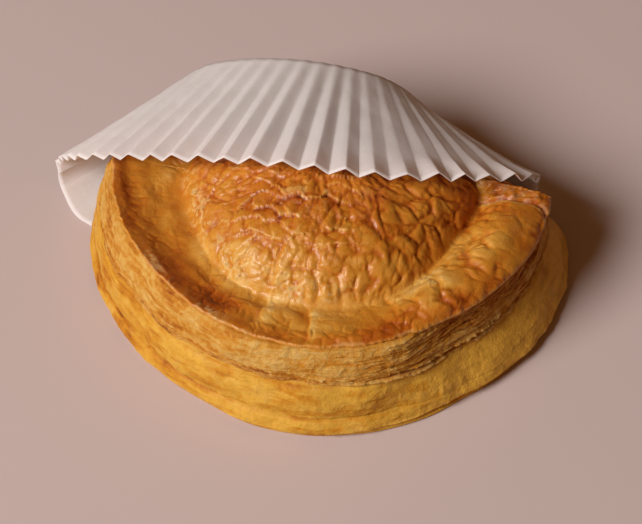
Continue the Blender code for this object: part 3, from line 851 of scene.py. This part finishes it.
push += 0.10 * crumb * smooth_step(0.0, 1.5, body[:, 2])
bottom_final = smooth_bottom.copy()
bottom_final[:count] = body + flat_out * push[:, None]
bottom_final[:count, 2] = np.maximum(bottom_final[:count, 2], 0.05)

blotch = smooth_step(-0.2, 0.5, noise_at(warped(body * np.array((0.45, 0.45, 1.6)), 5.0, 1.6) + 25.0, 4.2, 3))
streak = smooth_step(0.25, 0.6, noise_at(warped(body * np.array((0.5, 0.5, 2.6)), 4.0, 0.8) + 12.0, 2.6, 2))
tone = 0.22 + 0.10 * smooth_step(-8.0, -42.0, body[:, 0]) + 0.06 * noise_at(body, 11.0, 2)
tone += 0.22 * blotch + 0.06 * noise_at(body, 0.9, 2) + 0.14 * streak * (1.0 - to_right)
# Painted shade in the gaps between the leaves and along the seam between the two sheets.
tone += 0.16 * gap * open_gap * lined + 0.10 * fine_gap * lined + 0.16 * seam
tone += 0.04 * to_right - 0.05 * smooth_step(42.0, 50.0, body[:, 0])
tone -= 0.09 * smooth_step(4.0, 14.0, body[:, 0]) * smooth_step(42.0, 32.0, body[:, 0]) * (body[:, 1] < 0.0)
# The lip's right end, from about x 28 mm out, is made paler: painted light where the pie's own shade falls on
# it.
tone -= 0.12 * blister + 0.10 * crumb + 0.12 * to_right * smooth_step(28.0, 38.0, body[:, 0])
lip_edge = band(lip_line, 2.1, 0.4) * lowest
# A darker line just under the lip's edge, where the under layer is pushed in: partly the layer's own colour,
# partly painted shade; the edge above it is made paler.
tone += 0.22 * band(lip_line, 1.4, 0.3) * lowest - (0.12 + 0.10 * to_right) * lip_edge
dry = 0.20 * smooth_step(0.0, 0.5, noise_at(body + 3.0, 4.0, 3)) * (1.0 - blotch) * (1.0 - 0.9 * to_right)
dry += 0.35 * blister * smooth_step(0.1, 0.4, noise_at(body + 4.0, 1.4, 2)) + 0.25 * lip_edge * to_right
extra = len(smooth_bottom) - count
shades = {"bake": with_hidden(tone, extra, 0.32), "dry": with_hidden(dry, extra, 0.1)}
bottom_crust = baked_pastry(
    "bottom_crust", BOTTOM_TONES, DRY_LEAF_COLOUR, shine=0.14, gloss=0.46, coat=(0.03, 0.35), soak=0.20,
    grain_sizes=(420.0, 2200.0), bump=(0.6, 0.0003),
)
pie_bottom = finish_piece(bottom_mesh, bottom_final + TO_FRAME, shades, bottom_crust)
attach(pie_bottom, "root")
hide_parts("pie")

# ---- The clinging flakes
# Thin flakes of baked dough that came off the torn edges and cling to the crust: at the foot of the
# dome, along the lid's edge and on the leaves at the right. They are stuck on by the egg wash.

FLAKE_CORNERS = 9
FLAKE_THICKNESS = 0.12
FLAKE_RAGGEDNESS = 0.45
FLAKE_BEND = -0.3
FLAKE_SCALE = (0.45, 1.2)
FLAKES_PER_M2 = (1.5e6, 1.2e6)
FLAKE_TONES = ((0.00, (0.74, 0.49, 0.19)), (0.50, (0.66, 0.33, 0.06)), (1.00, (0.45, 0.15, 0.012)))

turn = 2.0 * math.pi * np.arange(FLAKE_CORNERS) / FLAKE_CORNERS
radius = 0.5 * (1.0 + FLAKE_RAGGEDNESS * np.sin(turn * 2.0 + 1.0) * np.cos(turn * 3.0))
outline = np.stack((radius * np.cos(turn), 0.7 * radius * np.sin(turn)), axis=1)
bend = FLAKE_BEND * outline[:, 0] ** 2 + 0.08 * np.sin(5.0 * turn)
flake_points = [(*spot, lift) for spot, lift in zip(outline, bend + FLAKE_THICKNESS / 2)]
flake_points += [(*spot, lift) for spot, lift in zip(outline, bend - FLAKE_THICKNESS / 2)]
flake_points += [(0.0, 0.0, FLAKE_THICKNESS / 2), (0.0, 0.0, -FLAKE_THICKNESS / 2)]
flake_faces = []
for corner in range(FLAKE_CORNERS):
    after = (corner + 1) % FLAKE_CORNERS
    flake_faces.append((corner, after, 2 * FLAKE_CORNERS))
    flake_faces.append((after + FLAKE_CORNERS, corner + FLAKE_CORNERS, 2 * FLAKE_CORNERS + 1))
    flake_faces.append((after, corner, corner + FLAKE_CORNERS, after + FLAKE_CORNERS))
flake_mesh, _ = mesh_of("one_flake", np.array(flake_points), flake_faces)
flake_mesh.shade_flat()
one_flake = bpy.data.objects.new("one_flake", flake_mesh)
bpy.context.scene.collection.objects.link(one_flake)


def tree_input(tree, name, kind, value):
    socket = tree.interface.new_socket(name, in_out="INPUT", socket_type=kind)
    if kind != "NodeSocketObject" and kind != "NodeSocketMaterial":
        socket.default_value = value
    return socket.identifier


def live(sockets, *names):
    """The sockets in use, or those of them with one of the names."""
    return [socket for socket in sockets if socket.enabled and (not names or socket.name in names)]


def shape_of(tree, source):
    """The mesh of an object that the tree was given."""
    node = add_node(tree, "GeometryNodeObjectInfo", {"Object": source}, transform_space="ORIGINAL")
    return node.outputs["Geometry"]


def finish_tree(tree, shape, finish):
    """Makes the shape real, gives it its finish and hands it out of the tree."""
    real = add_node(tree, "GeometryNodeRealizeInstances", {0: shape}).outputs[0]
    dressed = add_node(tree, "GeometryNodeSetMaterial", {"Geometry": real, "Material": finish})
    add_node(tree, "NodeGroupOutput", {0: dressed.outputs[0]})


def clinging_flakes_tree():
    """Geometry Nodes: flakes scattered where the crust is dry, lying on it at any turn."""
    tree = bpy.data.node_groups.new("clinging_flakes", "GeometryNodeTree")
    keys = {
        name: tree_input(tree, name, kind, value)
        for name, kind, value in (
            ("Crust", "NodeSocketObject", None),
            ("Flake", "NodeSocketObject", None),
            ("Finish", "NodeSocketMaterial", None),
            ("Flakes per m2", "NodeSocketFloat", 1.0e6),
            ("Seed", "NodeSocketInt", 1),
            ("Smallest", "NodeSocketFloat", FLAKE_SCALE[0]),
            ("Largest", "NodeSocketFloat", FLAKE_SCALE[1]),
        )
    }
    tree.interface.new_socket("Geometry", in_out="OUTPUT", socket_type="NodeSocketGeometry")
    given = tree.nodes.new("NodeGroupInput").outputs
    crust, flake = shape_of(tree, given["Crust"]), shape_of(tree, given["Flake"])
    dryness = add_node(tree, "GeometryNodeInputNamedAttribute", {"Name": "dry"}, data_type="FLOAT").outputs[0]
    above = add_math(tree, "MAXIMUM", add_math(tree, "SUBTRACT", dryness, 0.22), 0.0)
    density = add_math(tree, "MULTIPLY", add_math(tree, "POWER", above, 1.5), given["Flakes per m2"])
    spread = add_node(
        tree, "GeometryNodeDistributePointsOnFaces",
        {"Mesh": crust, "Density": density, "Seed": given["Seed"]},
    )
    tone = add_node(tree, "FunctionNodeRandomValue", {"Min": 0.0, "Max": 1.0, "Seed": 3}, data_type="FLOAT")
    toned = add_node(
        tree, "GeometryNodeStoreNamedAttribute", {"Geometry": spread.outputs["Points"], "Name": "bake"},
        data_type="FLOAT", domain="POINT",
    )
    tree.links.new(live(tone.outputs)[0], live(toned.inputs, "Value")[0])
    tilt = add_node(tree, "FunctionNodeRandomValue", {"Seed": 5}, data_type="FLOAT_VECTOR")
    tilt.inputs["Min"].default_value = (-0.14, -0.14, -3.1)
    tilt.inputs["Max"].default_value = (0.14, 0.14, 3.1)
    lying = {"Rotation": spread.outputs["Rotation"]}
    spun = add_node(tree, "FunctionNodeRotateRotation", lying, rotation_space="LOCAL")
    tree.links.new(live(tilt.outputs)[0], spun.inputs["Rotate By"])
    size = add_node(tree, "FunctionNodeRandomValue", {"Seed": 7}, data_type="FLOAT")
    low, high = live(size.inputs, "Min", "Max")
    tree.links.new(given["Smallest"], low)
    tree.links.new(given["Largest"], high)
    placed = add_node(
        tree, "GeometryNodeInstanceOnPoints",
        {"Points": toned.outputs["Geometry"], "Instance": flake, "Rotation": spun.outputs[0]},
    )
    tree.links.new(live(size.outputs)[0], placed.inputs["Scale"])
    finish_tree(tree, placed.outputs["Instances"], given["Finish"])
    return tree, keys


flaked_crust = baked_pastry(
    "flaked_crust", FLAKE_TONES, DRY_FLAKE_COLOUR, shine=0.16, gloss=0.45, coat=(0.0, 0.4), soak=0.2,
    grain_sizes=(500.0, 2600.0), bump=(0.3, 0.0002),
)
flakes_tree, flakes_keys = clinging_flakes_tree()
for number, (name, crust) in enumerate((("lid_flakes", pie_lid), ("side_flakes", pie_side))):
    draft = bpy.data.objects.new("flakes_draft", bpy.data.meshes.new("flakes_draft"))
    bpy.context.scene.collection.objects.link(draft)
    scatter = draft.modifiers.new("scatter", "NODES")
    scatter.node_group = flakes_tree
    scatter[flakes_keys["Crust"]] = crust
    scatter[flakes_keys["Flake"]] = one_flake
    scatter[flakes_keys["Finish"]] = flaked_crust
    scatter[flakes_keys["Flakes per m2"]] = FLAKES_PER_M2[number]
    scatter[flakes_keys["Seed"]] = 11 + number
    bpy.context.view_layer.update()
    flakes_mesh = bpy.data.meshes.new_from_object(draft.evaluated_get(bpy.context.evaluated_depsgraph_get()))
    flakes_mesh.name = name
    flakes = bpy.data.objects.new(name, flakes_mesh)
    bpy.context.scene.collection.objects.link(flakes)
    bpy.data.objects.remove(draft, do_unlink=True)
    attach(flakes, "root")
    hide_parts("pie")
bpy.data.objects.remove(one_flake, do_unlink=True)

# ---- The paper case
# A white baking case of thin greaseproof paper, pressed from one round sheet: the wall is fluted
# into even pleats and the base is plain. It lies on its side, pulled over the back of the pie.

PLEATS = 46
PLEAT_DEPTH_MOUTH = 2.9
PLEAT_DEPTH_BASE = 1.3
FLAT_HEIGHT = 0.34
FLAT_PLEAT_SHARE = 0.07
PLEAT_RISE = 9.0
MOUTH = (
    (-64.6, 8.0, 9.5),
    (-56.8, -2.2, 23.8),
    (-38.0, -7.8, 32.4),
    (-14.0, -12.6, 39.4),
    (11.0, -13.2, 39.3),
    (33.0, -6.0, 33.6),
    (43.9, 1.8, 26.4),
    (45.3, 11.5, 14.0),
    (44.8, 17.4, 3.0),
    (38.0, 11.0, FLAT_HEIGHT),
    (0.0, -4.0, FLAT_HEIGHT),
    (-45.0, -3.5, FLAT_HEIGHT),
    (-57.5, -1.0, FLAT_HEIGHT),
    (-63.3, 5.2, 2.2),
)
CURVE_STEPS = 24
WALL_TURN_UP = 3.0
BASE_MIDDLE = (-10.8, 16.8)
BASE_HALF_WIDTH = 27.0
BASE_HALF_HEIGHT = 16.2
BASE_SQUARENESS = (2.0, 2.8)
BASE_FOOT_Y = 34.0
BASE_LEAN = 9.0
BASE_BULGE = 2.2
BASE_CREASE = 1.3
STEPS_PER_PLEAT = 12
FOLD_CROWDING = 0.8
PLEAT_UNEVENNESS = 0.16
PLEAT_CROWD_PLACE = 0.07
PLEAT_CROWD_SPAN = 0.07
PLEAT_CROWD = 0.4
PAPER_WALL_ROWS = 30
PAPER_BASE_ROWS = 12
PAPER_THICKNESS = 0.14
PAPER_COLOUR = (0.79, 0.70, 0.665, 1.0)


def closed_curve(points, count):
    """Points at equal steps along a smooth closed curve through the given ones."""
    fine = []
    for index in range(len(points)):
        before, here, after, beyond = (np.array(points[(index + k) % len(points)]) for k in (-1, 0, 1, 2))
        for step in range(CURVE_STEPS):
            t = step / CURVE_STEPS
            bend = 2 * here + (after - before) * t + (2 * before - 5 * here + 4 * after - beyond) * t**2
            fine.append(0.5 * (bend + (3 * here - before - 3 * after + beyond) * t**3))
    fine = np.array(fine + fine[:1])
    length = np.concatenate(([0.0], np.cumsum(np.linalg.norm(np.diff(fine, axis=0), axis=1))))
    pleat = length[-1] / PLEATS
    stops = np.arange(count) / STEPS_PER_PLEAT
    stops = (stops - FOLD_CROWDING / (4.0 * math.pi) * np.sin(4.0 * math.pi * stops)) * pleat
    turn = 2.0 * math.pi * np.arange(count) / count
    uneven = noise_at(np.stack((np.cos(turn), np.sin(turn), np.zeros(count)), axis=1), 0.22, 2)
    fine_share = np.linspace(0.0, 1.0, 2000)
    crowd = np.cumsum(1.0 + PLEAT_CROWD * band(fine_share, PLEAT_CROWD_PLACE, PLEAT_CROWD_SPAN))
    crowd = (crowd - crowd[0]) / (crowd[-1] - crowd[0])
    stops = np.interp(stops / length[-1], crowd, fine_share) * length[-1]
    stops = (stops + PLEAT_UNEVENNESS * pleat * uneven) % length[-1]
    return np.stack([np.interp(stops, length, fine[:, axis]) for axis in range(3)], axis=1)


def base_oval(count):
    """The standing oval of the case's base, starting at its left end and going over the top."""
    turn = math.pi - 2.0 * math.pi * np.arange(count) / count
    power = 2.0 / np.where(np.sin(turn) > 0.0, *BASE_SQUARENESS)
    x = BASE_MIDDLE[0] + BASE_HALF_WIDTH * signed_power(np.cos(turn), power)
    z = BASE_MIDDLE[1] + BASE_HALF_HEIGHT * signed_power(np.sin(turn), power)
    return np.stack((x, BASE_FOOT_Y - BASE_LEAN * z / (2.0 * BASE_HALF_HEIGHT), z), axis=1)


def rim_object(name, points):
    """A bare ring of points that the fluting tree reads."""
    mesh = bpy.data.meshes.new(name)
    mesh.from_pydata(((points + TO_FRAME) * MM).tolist(), [], [])
    made = bpy.data.objects.new(name, mesh)
    bpy.context.scene.collection.objects.link(made)
    return made


around_count = PLEATS * STEPS_PER_PLEAT
mouth = closed_curve(MOUTH, around_count)
mouth[:, 2] = np.maximum(mouth[:, 2], FLAT_HEIGHT)
mouth_rim = rim_object("case_mouth", mouth)
base_rim = rim_object("case_base", base_oval(around_count))


def fluted_case_tree():
    """Geometry Nodes: a tube of paper ruled from the mouth to the base, folded into pleats, then
    closed over the base and given its material; the thickness is added after the tree."""
    tree = bpy.data.node_groups.new("fluted_case", "GeometryNodeTree")
    keys = {
        name: tree_input(tree, name, kind, value)
        for name, kind, value in (
            ("Mouth", "NodeSocketObject", None),
            ("Base", "NodeSocketObject", None),
            ("Paper", "NodeSocketMaterial", None),
            ("Pleats", "NodeSocketInt", PLEATS),
            ("Steps", "NodeSocketInt", around_count),
            ("Wall Rows", "NodeSocketInt", PAPER_WALL_ROWS),
            ("Base Rows", "NodeSocketInt", PAPER_BASE_ROWS),
            ("Mouth Depth", "NodeSocketFloat", 0.62 * PLEAT_DEPTH_MOUTH * MM),
            ("Base Depth", "NodeSocketFloat", 0.10 * PLEAT_DEPTH_BASE * MM),
            ("Pressed Share", "NodeSocketFloat", FLAT_PLEAT_SHARE),
            ("Pressed Height", "NodeSocketFloat", 1.0 * MM),
            ("Open Height", "NodeSocketFloat", PLEAT_RISE * MM),
            ("Turn Up", "NodeSocketFloat", WALL_TURN_UP),
            ("Base Bulge", "NodeSocketFloat", BASE_BULGE * MM),
            ("Base Crease", "NodeSocketFloat", BASE_CREASE * MM),
            ("Crumple", "NodeSocketFloat", 0.5 * MM),
            ("Depth Unevenness", "NodeSocketFloat", 1.6),
            ("Slack From", "NodeSocketFloat", -6.0 * MM),
            ("Slack To", "NodeSocketFloat", 26.0 * MM),
        )
    }
    tree.interface.new_socket("Geometry", in_out="OUTPUT", socket_type="NodeSocketGeometry")
    given = tree.nodes.new("NodeGroupInput").outputs

    def value(operation, *values, clamp=False):
        node = add_node(tree, "ShaderNodeMath", dict(enumerate(values)), operation=operation)
        node.use_clamp = clamp
        return node.outputs[0]

    def vector(operation, *values, output=0):
        node = add_node(tree, "ShaderNodeVectorMath", dict(enumerate(values)), operation=operation)
        return node.outputs[output]

    def blend(share, first, second):
        node = add_node(tree, "ShaderNodeMix", {0: share, 4: first, 5: second}, data_type="VECTOR")
        return node.outputs[1]

    def ease(low, high, amount):
        inputs = {"Value": amount, "From Min": low, "From Max": high}
        return add_node(tree, "ShaderNodeMapRange", inputs, interpolation_type="SMOOTHSTEP").outputs[0]

    rows = value("ADD", given["Wall Rows"], given["Base Rows"])
    tube = add_node(
        tree, "GeometryNodeMeshCylinder",
        {"Vertices": given["Steps"], "Side Segments": rows, "Radius": 1.0, "Depth": 1.0}, fill_type="NONE",
    ).outputs["Mesh"]
    spot = add_node(tree, "GeometryNodeInputPosition").outputs[0]
    parts = add_node(tree, "ShaderNodeSeparateXYZ", {0: spot}).outputs
    turn = value("DIVIDE", value("ARCTAN2", parts["Y"], parts["X"]), 2.0 * math.pi)
    column = value("ROUND", value("MULTIPLY", value("FRACT", turn), given["Steps"]))
    row = value("ROUND", value("MULTIPLY", value("ADD", parts["Z"], 0.5), rows))
    down = value("DIVIDE", row, given["Wall Rows"], clamp=True)
    over_base = value("DIVIDE", value("SUBTRACT", row, given["Wall Rows"]), given["Base Rows"], clamp=True)

    def rim_point(rim, offset):
        info = add_node(tree, "GeometryNodeObjectInfo", {"Object": given[rim]}, transform_space="ORIGINAL")
        index = value("FLOORED_MODULO", value("ADD", column, offset), given["Steps"])
        sample = add_node(
            tree, "GeometryNodeSampleIndex", {"Geometry": info.outputs["Geometry"], "Index": index},
            data_type="FLOAT_VECTOR", domain="POINT",
        )
        tree.links.new(spot, sample.inputs["Value"])
        return sample.outputs[0]

    def wall_point(offset):
        """The unpleated wall: straight from mouth to base, or along the floor first and then up."""
        start, end = rim_point("Mouth", offset), rim_point("Base", offset)
        start_z = add_node(tree, "ShaderNodeSeparateXYZ", {0: start}).outputs["Z"]
        end_z = add_node(tree, "ShaderNodeSeparateXYZ", {0: end}).outputs["Z"]
        low = value("SUBTRACT", 1.0, ease(given["Pressed Height"], given["Open Height"], start_z))
        power = value("MULTIPLY_ADD", given["Turn Up"], low, 1.0)
        ruled = add_node(tree, "ShaderNodeSeparateXYZ", {0: blend(down, start, end)}).outputs
        z = value("MULTIPLY_ADD", value("SUBTRACT", end_z, start_z), value("POWER", down, power), start_z)
        placed = add_node(tree, "ShaderNodeCombineXYZ", {0: ruled["X"], 1: ruled["Y"], 2: z}).outputs[0]
        return placed, vector("SUBTRACT", end, start)

    here, fall = wall_point(0.0)
    ahead, _ = wall_point(3.0)
    behind, _ = wall_point(-3.0)
    outward = vector("NORMALIZE", vector("CROSS_PRODUCT", vector("SUBTRACT", ahead, behind), fall))

    # Pleats: a zigzag of crisp folds, deeper here and shallower there, pressed flat by the floor.
    rim_start = rim_point("Mouth", 0.0)
    rim_noise = add_node(tree, "ShaderNodeTexNoise", {"Vector": rim_start, "Scale": 75.0, "Detail": 1.0})
    off_middle = value("SUBTRACT", rim_noise.outputs["Fac"], 0.5)
    uneven = value("MULTIPLY_ADD", off_middle, given["Depth Unevenness"], 1.0)
    share = value("FRACT", value("DIVIDE", column, STEPS_PER_PLEAT))
    crowd = value("SINE", value("MULTIPLY", share, 4.0 * math.pi))
    phase = value("SUBTRACT", share, value("MULTIPLY", crowd, FOLD_CROWDING / (4.0 * math.pi)))
    zigzag = value("MULTIPLY", value("SUBTRACT", value("ABSOLUTE", value("SUBTRACT", phase, 0.5)), 0.25), 4.0)
    rounded = value("MULTIPLY", value("SINE", value("MULTIPLY", zigzag, 0.7)), 1.0 / math.sin(0.7))
    rounded = value("MULTIPLY", rounded, uneven)
    height = add_node(tree, "ShaderNodeSeparateXYZ", {0: here}).outputs["Z"]
    pressed = ease(given["Pressed Height"], given["Open Height"], height)
    free_share = value("SUBTRACT", 1.0, given["Pressed Share"])
    pressed = value("MULTIPLY_ADD", free_share, pressed, given["Pressed Share"])
    depth_change = value("SUBTRACT", given["Base Depth"], given["Mouth Depth"])
    depth = value("MULTIPLY_ADD", depth_change, down, given["Mouth Depth"])
    across = add_node(tree, "ShaderNodeSeparateXYZ", {0: rim_start}).outputs["X"]
    inside = value("MULTIPLY", down, 5.0, clamp=True)
    slack = value("MULTIPLY", ease(given["Slack From"], given["Slack To"], across), inside)
    slack = value("MULTIPLY_ADD", slack, -0.80, 1.0)
    depth = value("MULTIPLY", value("MULTIPLY", value("MULTIPLY", depth, 0.5), pressed), slack)
    crumple = add_node(tree, "ShaderNodeTexNoise", {"Vector": here, "Scale": 160.0, "Detail": 3.0})
    crumple = value("SUBTRACT", crumple.outputs["Fac"], 0.5)
    crumple = value("MULTIPLY", crumple, value("MULTIPLY", given["Crumple"], pressed))
    fade = value("POWER", value("SUBTRACT", 1.0, over_base), 2.0)
    offset = value("MULTIPLY_ADD", value("MULTIPLY", rounded, depth), fade, crumple)
    wall = vector("ADD", here, vector("SCALE", outward, output=0))
    scale_node = wall.node.inputs[1].links[0].from_node
    tree.links.new(offset, scale_node.inputs["Scale"])

    # The base: the wall's last ring drawn in to its middle, bulged out and creased across.
    stats = add_node(
        tree, "GeometryNodeAttributeStatistic", {"Geometry": shape_of(tree, given["Base"])},
        data_type="FLOAT_VECTOR", domain="POINT",
    )
    vector_in = [socket for socket in stats.inputs if socket.type == "VECTOR"][0]
    tree.links.new(spot, vector_in)
    middle = [socket for socket in stats.outputs if socket.name == "Mean" and socket.type == "VECTOR"][0]
    drawn = blend(over_base, wall, middle)
    bulge = value("POWER", value("SUBTRACT", 1.0, over_base), 2.0)
    bulge = value("MULTIPLY", given["Base Bulge"], value("SUBTRACT", 1.0, bulge))
    level = add_node(tree, "ShaderNodeSeparateXYZ", {0: drawn}).outputs["Z"]
    middle_z = add_node(tree, "ShaderNodeSeparateXYZ", {0: middle}).outputs["Z"]
    off_middle = value("ABSOLUTE", value("SUBTRACT", level, middle_z))
    fold = value("SUBTRACT", 1.0, value("DIVIDE", off_middle, BASE_HALF_HEIGHT * MM))
    bulge = value("MULTIPLY_ADD", value("MULTIPLY", given["Base Crease"], fold), over_base, bulge)
    push = add_node(tree, "ShaderNodeCombineXYZ", {1: bulge}).outputs[0]
    placed = vector("ADD", drawn, push)

    moved = add_node(tree, "GeometryNodeSetPosition", {"Geometry": tube, "Position": placed}).outputs[0]
    closed = add_node(tree, "GeometryNodeMergeByDistance", {"Geometry": moved, "Distance": 0.00001})
    smooth = add_node(tree, "GeometryNodeSetShadeSmooth", {0: closed.outputs[0]}).outputs[0]
    finish_tree(tree, smooth, given["Paper"])
    return tree, keys


def greaseproof_paper():
    material = bpy.data.materials.new("greaseproof_paper")
    material.use_nodes = True
    tree = material.node_tree
    shader = tree.nodes["Principled BSDF"]
    place = add_node(tree, "ShaderNodeTexCoord").outputs["Object"]
    fibres = add_grain(tree, place, 900.0, detail=5.0, roughness=0.7)
    cloud = add_grain(tree, place, 60.0)
    colour = mix_colour(tree, fibres, PAPER_COLOUR, (0.86, 0.79, 0.77, 1.0))
    colour = mix_colour(tree, add_math(tree, "MULTIPLY", cloud, 0.25), colour, (0.74, 0.64, 0.60, 1.0))
    tree.links.new(colour, shader.inputs["Base Color"])
    bumped = add_node(tree, "ShaderNodeBump", {"Height": fibres, "Strength": 0.25, "Distance": 0.0002})
    tree.links.new(bumped.outputs["Normal"], shader.inputs["Normal"])
    shader.inputs["Roughness"].default_value = 0.72
    shader.inputs["Subsurface Weight"].default_value = 0.3
    shader.inputs["Subsurface Radius"].default_value = (1.0, 0.9, 0.85)
    shader.inputs["Subsurface Scale"].default_value = 0.0015
    return material


paper = greaseproof_paper()
case_tree, case_keys = fluted_case_tree()
draft = bpy.data.objects.new("case_draft", bpy.data.meshes.new("case_draft"))
bpy.context.scene.collection.objects.link(draft)
fluting = draft.modifiers.new("fluting", "NODES")
fluting.node_group = case_tree
fluting[case_keys["Mouth"]] = mouth_rim
fluting[case_keys["Base"]] = base_rim
fluting[case_keys["Paper"]] = paper
wall_thickness = draft.modifiers.new("thickness", "SOLIDIFY")
wall_thickness.thickness = PAPER_THICKNESS * MM
wall_thickness.offset = 0.0
bpy.context.view_layer.update()
graph = bpy.context.evaluated_depsgraph_get()
case_mesh = bpy.data.meshes.new_from_object(draft.evaluated_get(graph))
case_mesh.name = "paper_case_fluted"
paper_case = bpy.data.objects.new("paper_case_fluted", case_mesh)
bpy.context.scene.collection.objects.link(paper_case)
for used in (draft, mouth_rim, base_rim):
    bpy.data.objects.remove(used, do_unlink=True)
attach(paper_case, "root")
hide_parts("paper_case")

# ---- The table, the light and the camera
# A plain matt table top, one broad soft lamp from the front left with a weak even fill, and a
# camera that looks down on the front of the pie.

TABLE_COLOUR = (0.60, 0.48, 0.45, 1.0)
TABLE_SIZE = 4.0
LAMP_PLACE = (-1.06, -0.93, 1.17)
LAMP_SIZE = 0.86
LAMP_POWER = 37.5
LAMP_COLOUR = (1.0, 0.99, 0.98)
FILL_COLOUR = (1.0, 0.44, 0.15)
FILL_STRENGTH = 0.115
CAMERA_PLACE = (35.22, -307.35, 370.97)
CAMERA_AIM = (-0.288, -18.17, 15.0)
FOCAL_LENGTH = 118.3


def aimed(place, aim):
    """The turn that points an object at a place towards an aim."""
    return (Vector(aim) - Vector(place)).to_track_quat("-Z", "Y").to_euler()


table_mesh = bpy.data.meshes.new("table")
half = TABLE_SIZE / 2
corners = [(-half, -half, 0), (half, -half, 0), (half, half, 0), (-half, half, 0)]
table_mesh.from_pydata(corners, [], [(0, 1, 2, 3)])
table_top = bpy.data.objects.new("table", table_mesh)
table_paint = bpy.data.materials.new("table_paint")
table_paint.use_nodes = True
table_paint.node_tree.nodes["Principled BSDF"].inputs["Base Color"].default_value = TABLE_COLOUR
table_paint.node_tree.nodes["Principled BSDF"].inputs["Roughness"].default_value = 0.6
table_mesh.materials.append(table_paint)
bpy.context.scene.collection.objects.link(table_top)

lamp = bpy.data.lights.new("lamp", "AREA")
lamp.shape = "DISK"
lamp.size = LAMP_SIZE
lamp.energy = LAMP_POWER
lamp.color = LAMP_COLOUR
lamp_object = bpy.data.objects.new("lamp", lamp)
lamp_object.location = LAMP_PLACE
lamp_object.rotation_euler = aimed(LAMP_PLACE, (0.0, 0.0, 0.01))
bpy.context.scene.collection.objects.link(lamp_object)

world = bpy.data.worlds.new("fill")
world.use_nodes = True
world.node_tree.nodes["Background"].inputs["Color"].default_value = (*FILL_COLOUR, 1.0)
world.node_tree.nodes["Background"].inputs["Strength"].default_value = FILL_STRENGTH
bpy.context.scene.world = world

camera = bpy.data.cameras.new("camera")
camera.lens = FOCAL_LENGTH
camera.sensor_fit = "HORIZONTAL"
camera_object = bpy.data.objects.new("camera", camera)
place = (np.array(CAMERA_PLACE) + TO_FRAME) * MM
aim = (np.array(CAMERA_AIM) + TO_FRAME) * MM
camera_object.location = place
camera_object.rotation_euler = aimed(place, aim)
bpy.context.scene.collection.objects.link(camera_object)
bpy.context.scene.camera = camera_object
bpy.context.scene.view_settings.view_transform = "Standard"
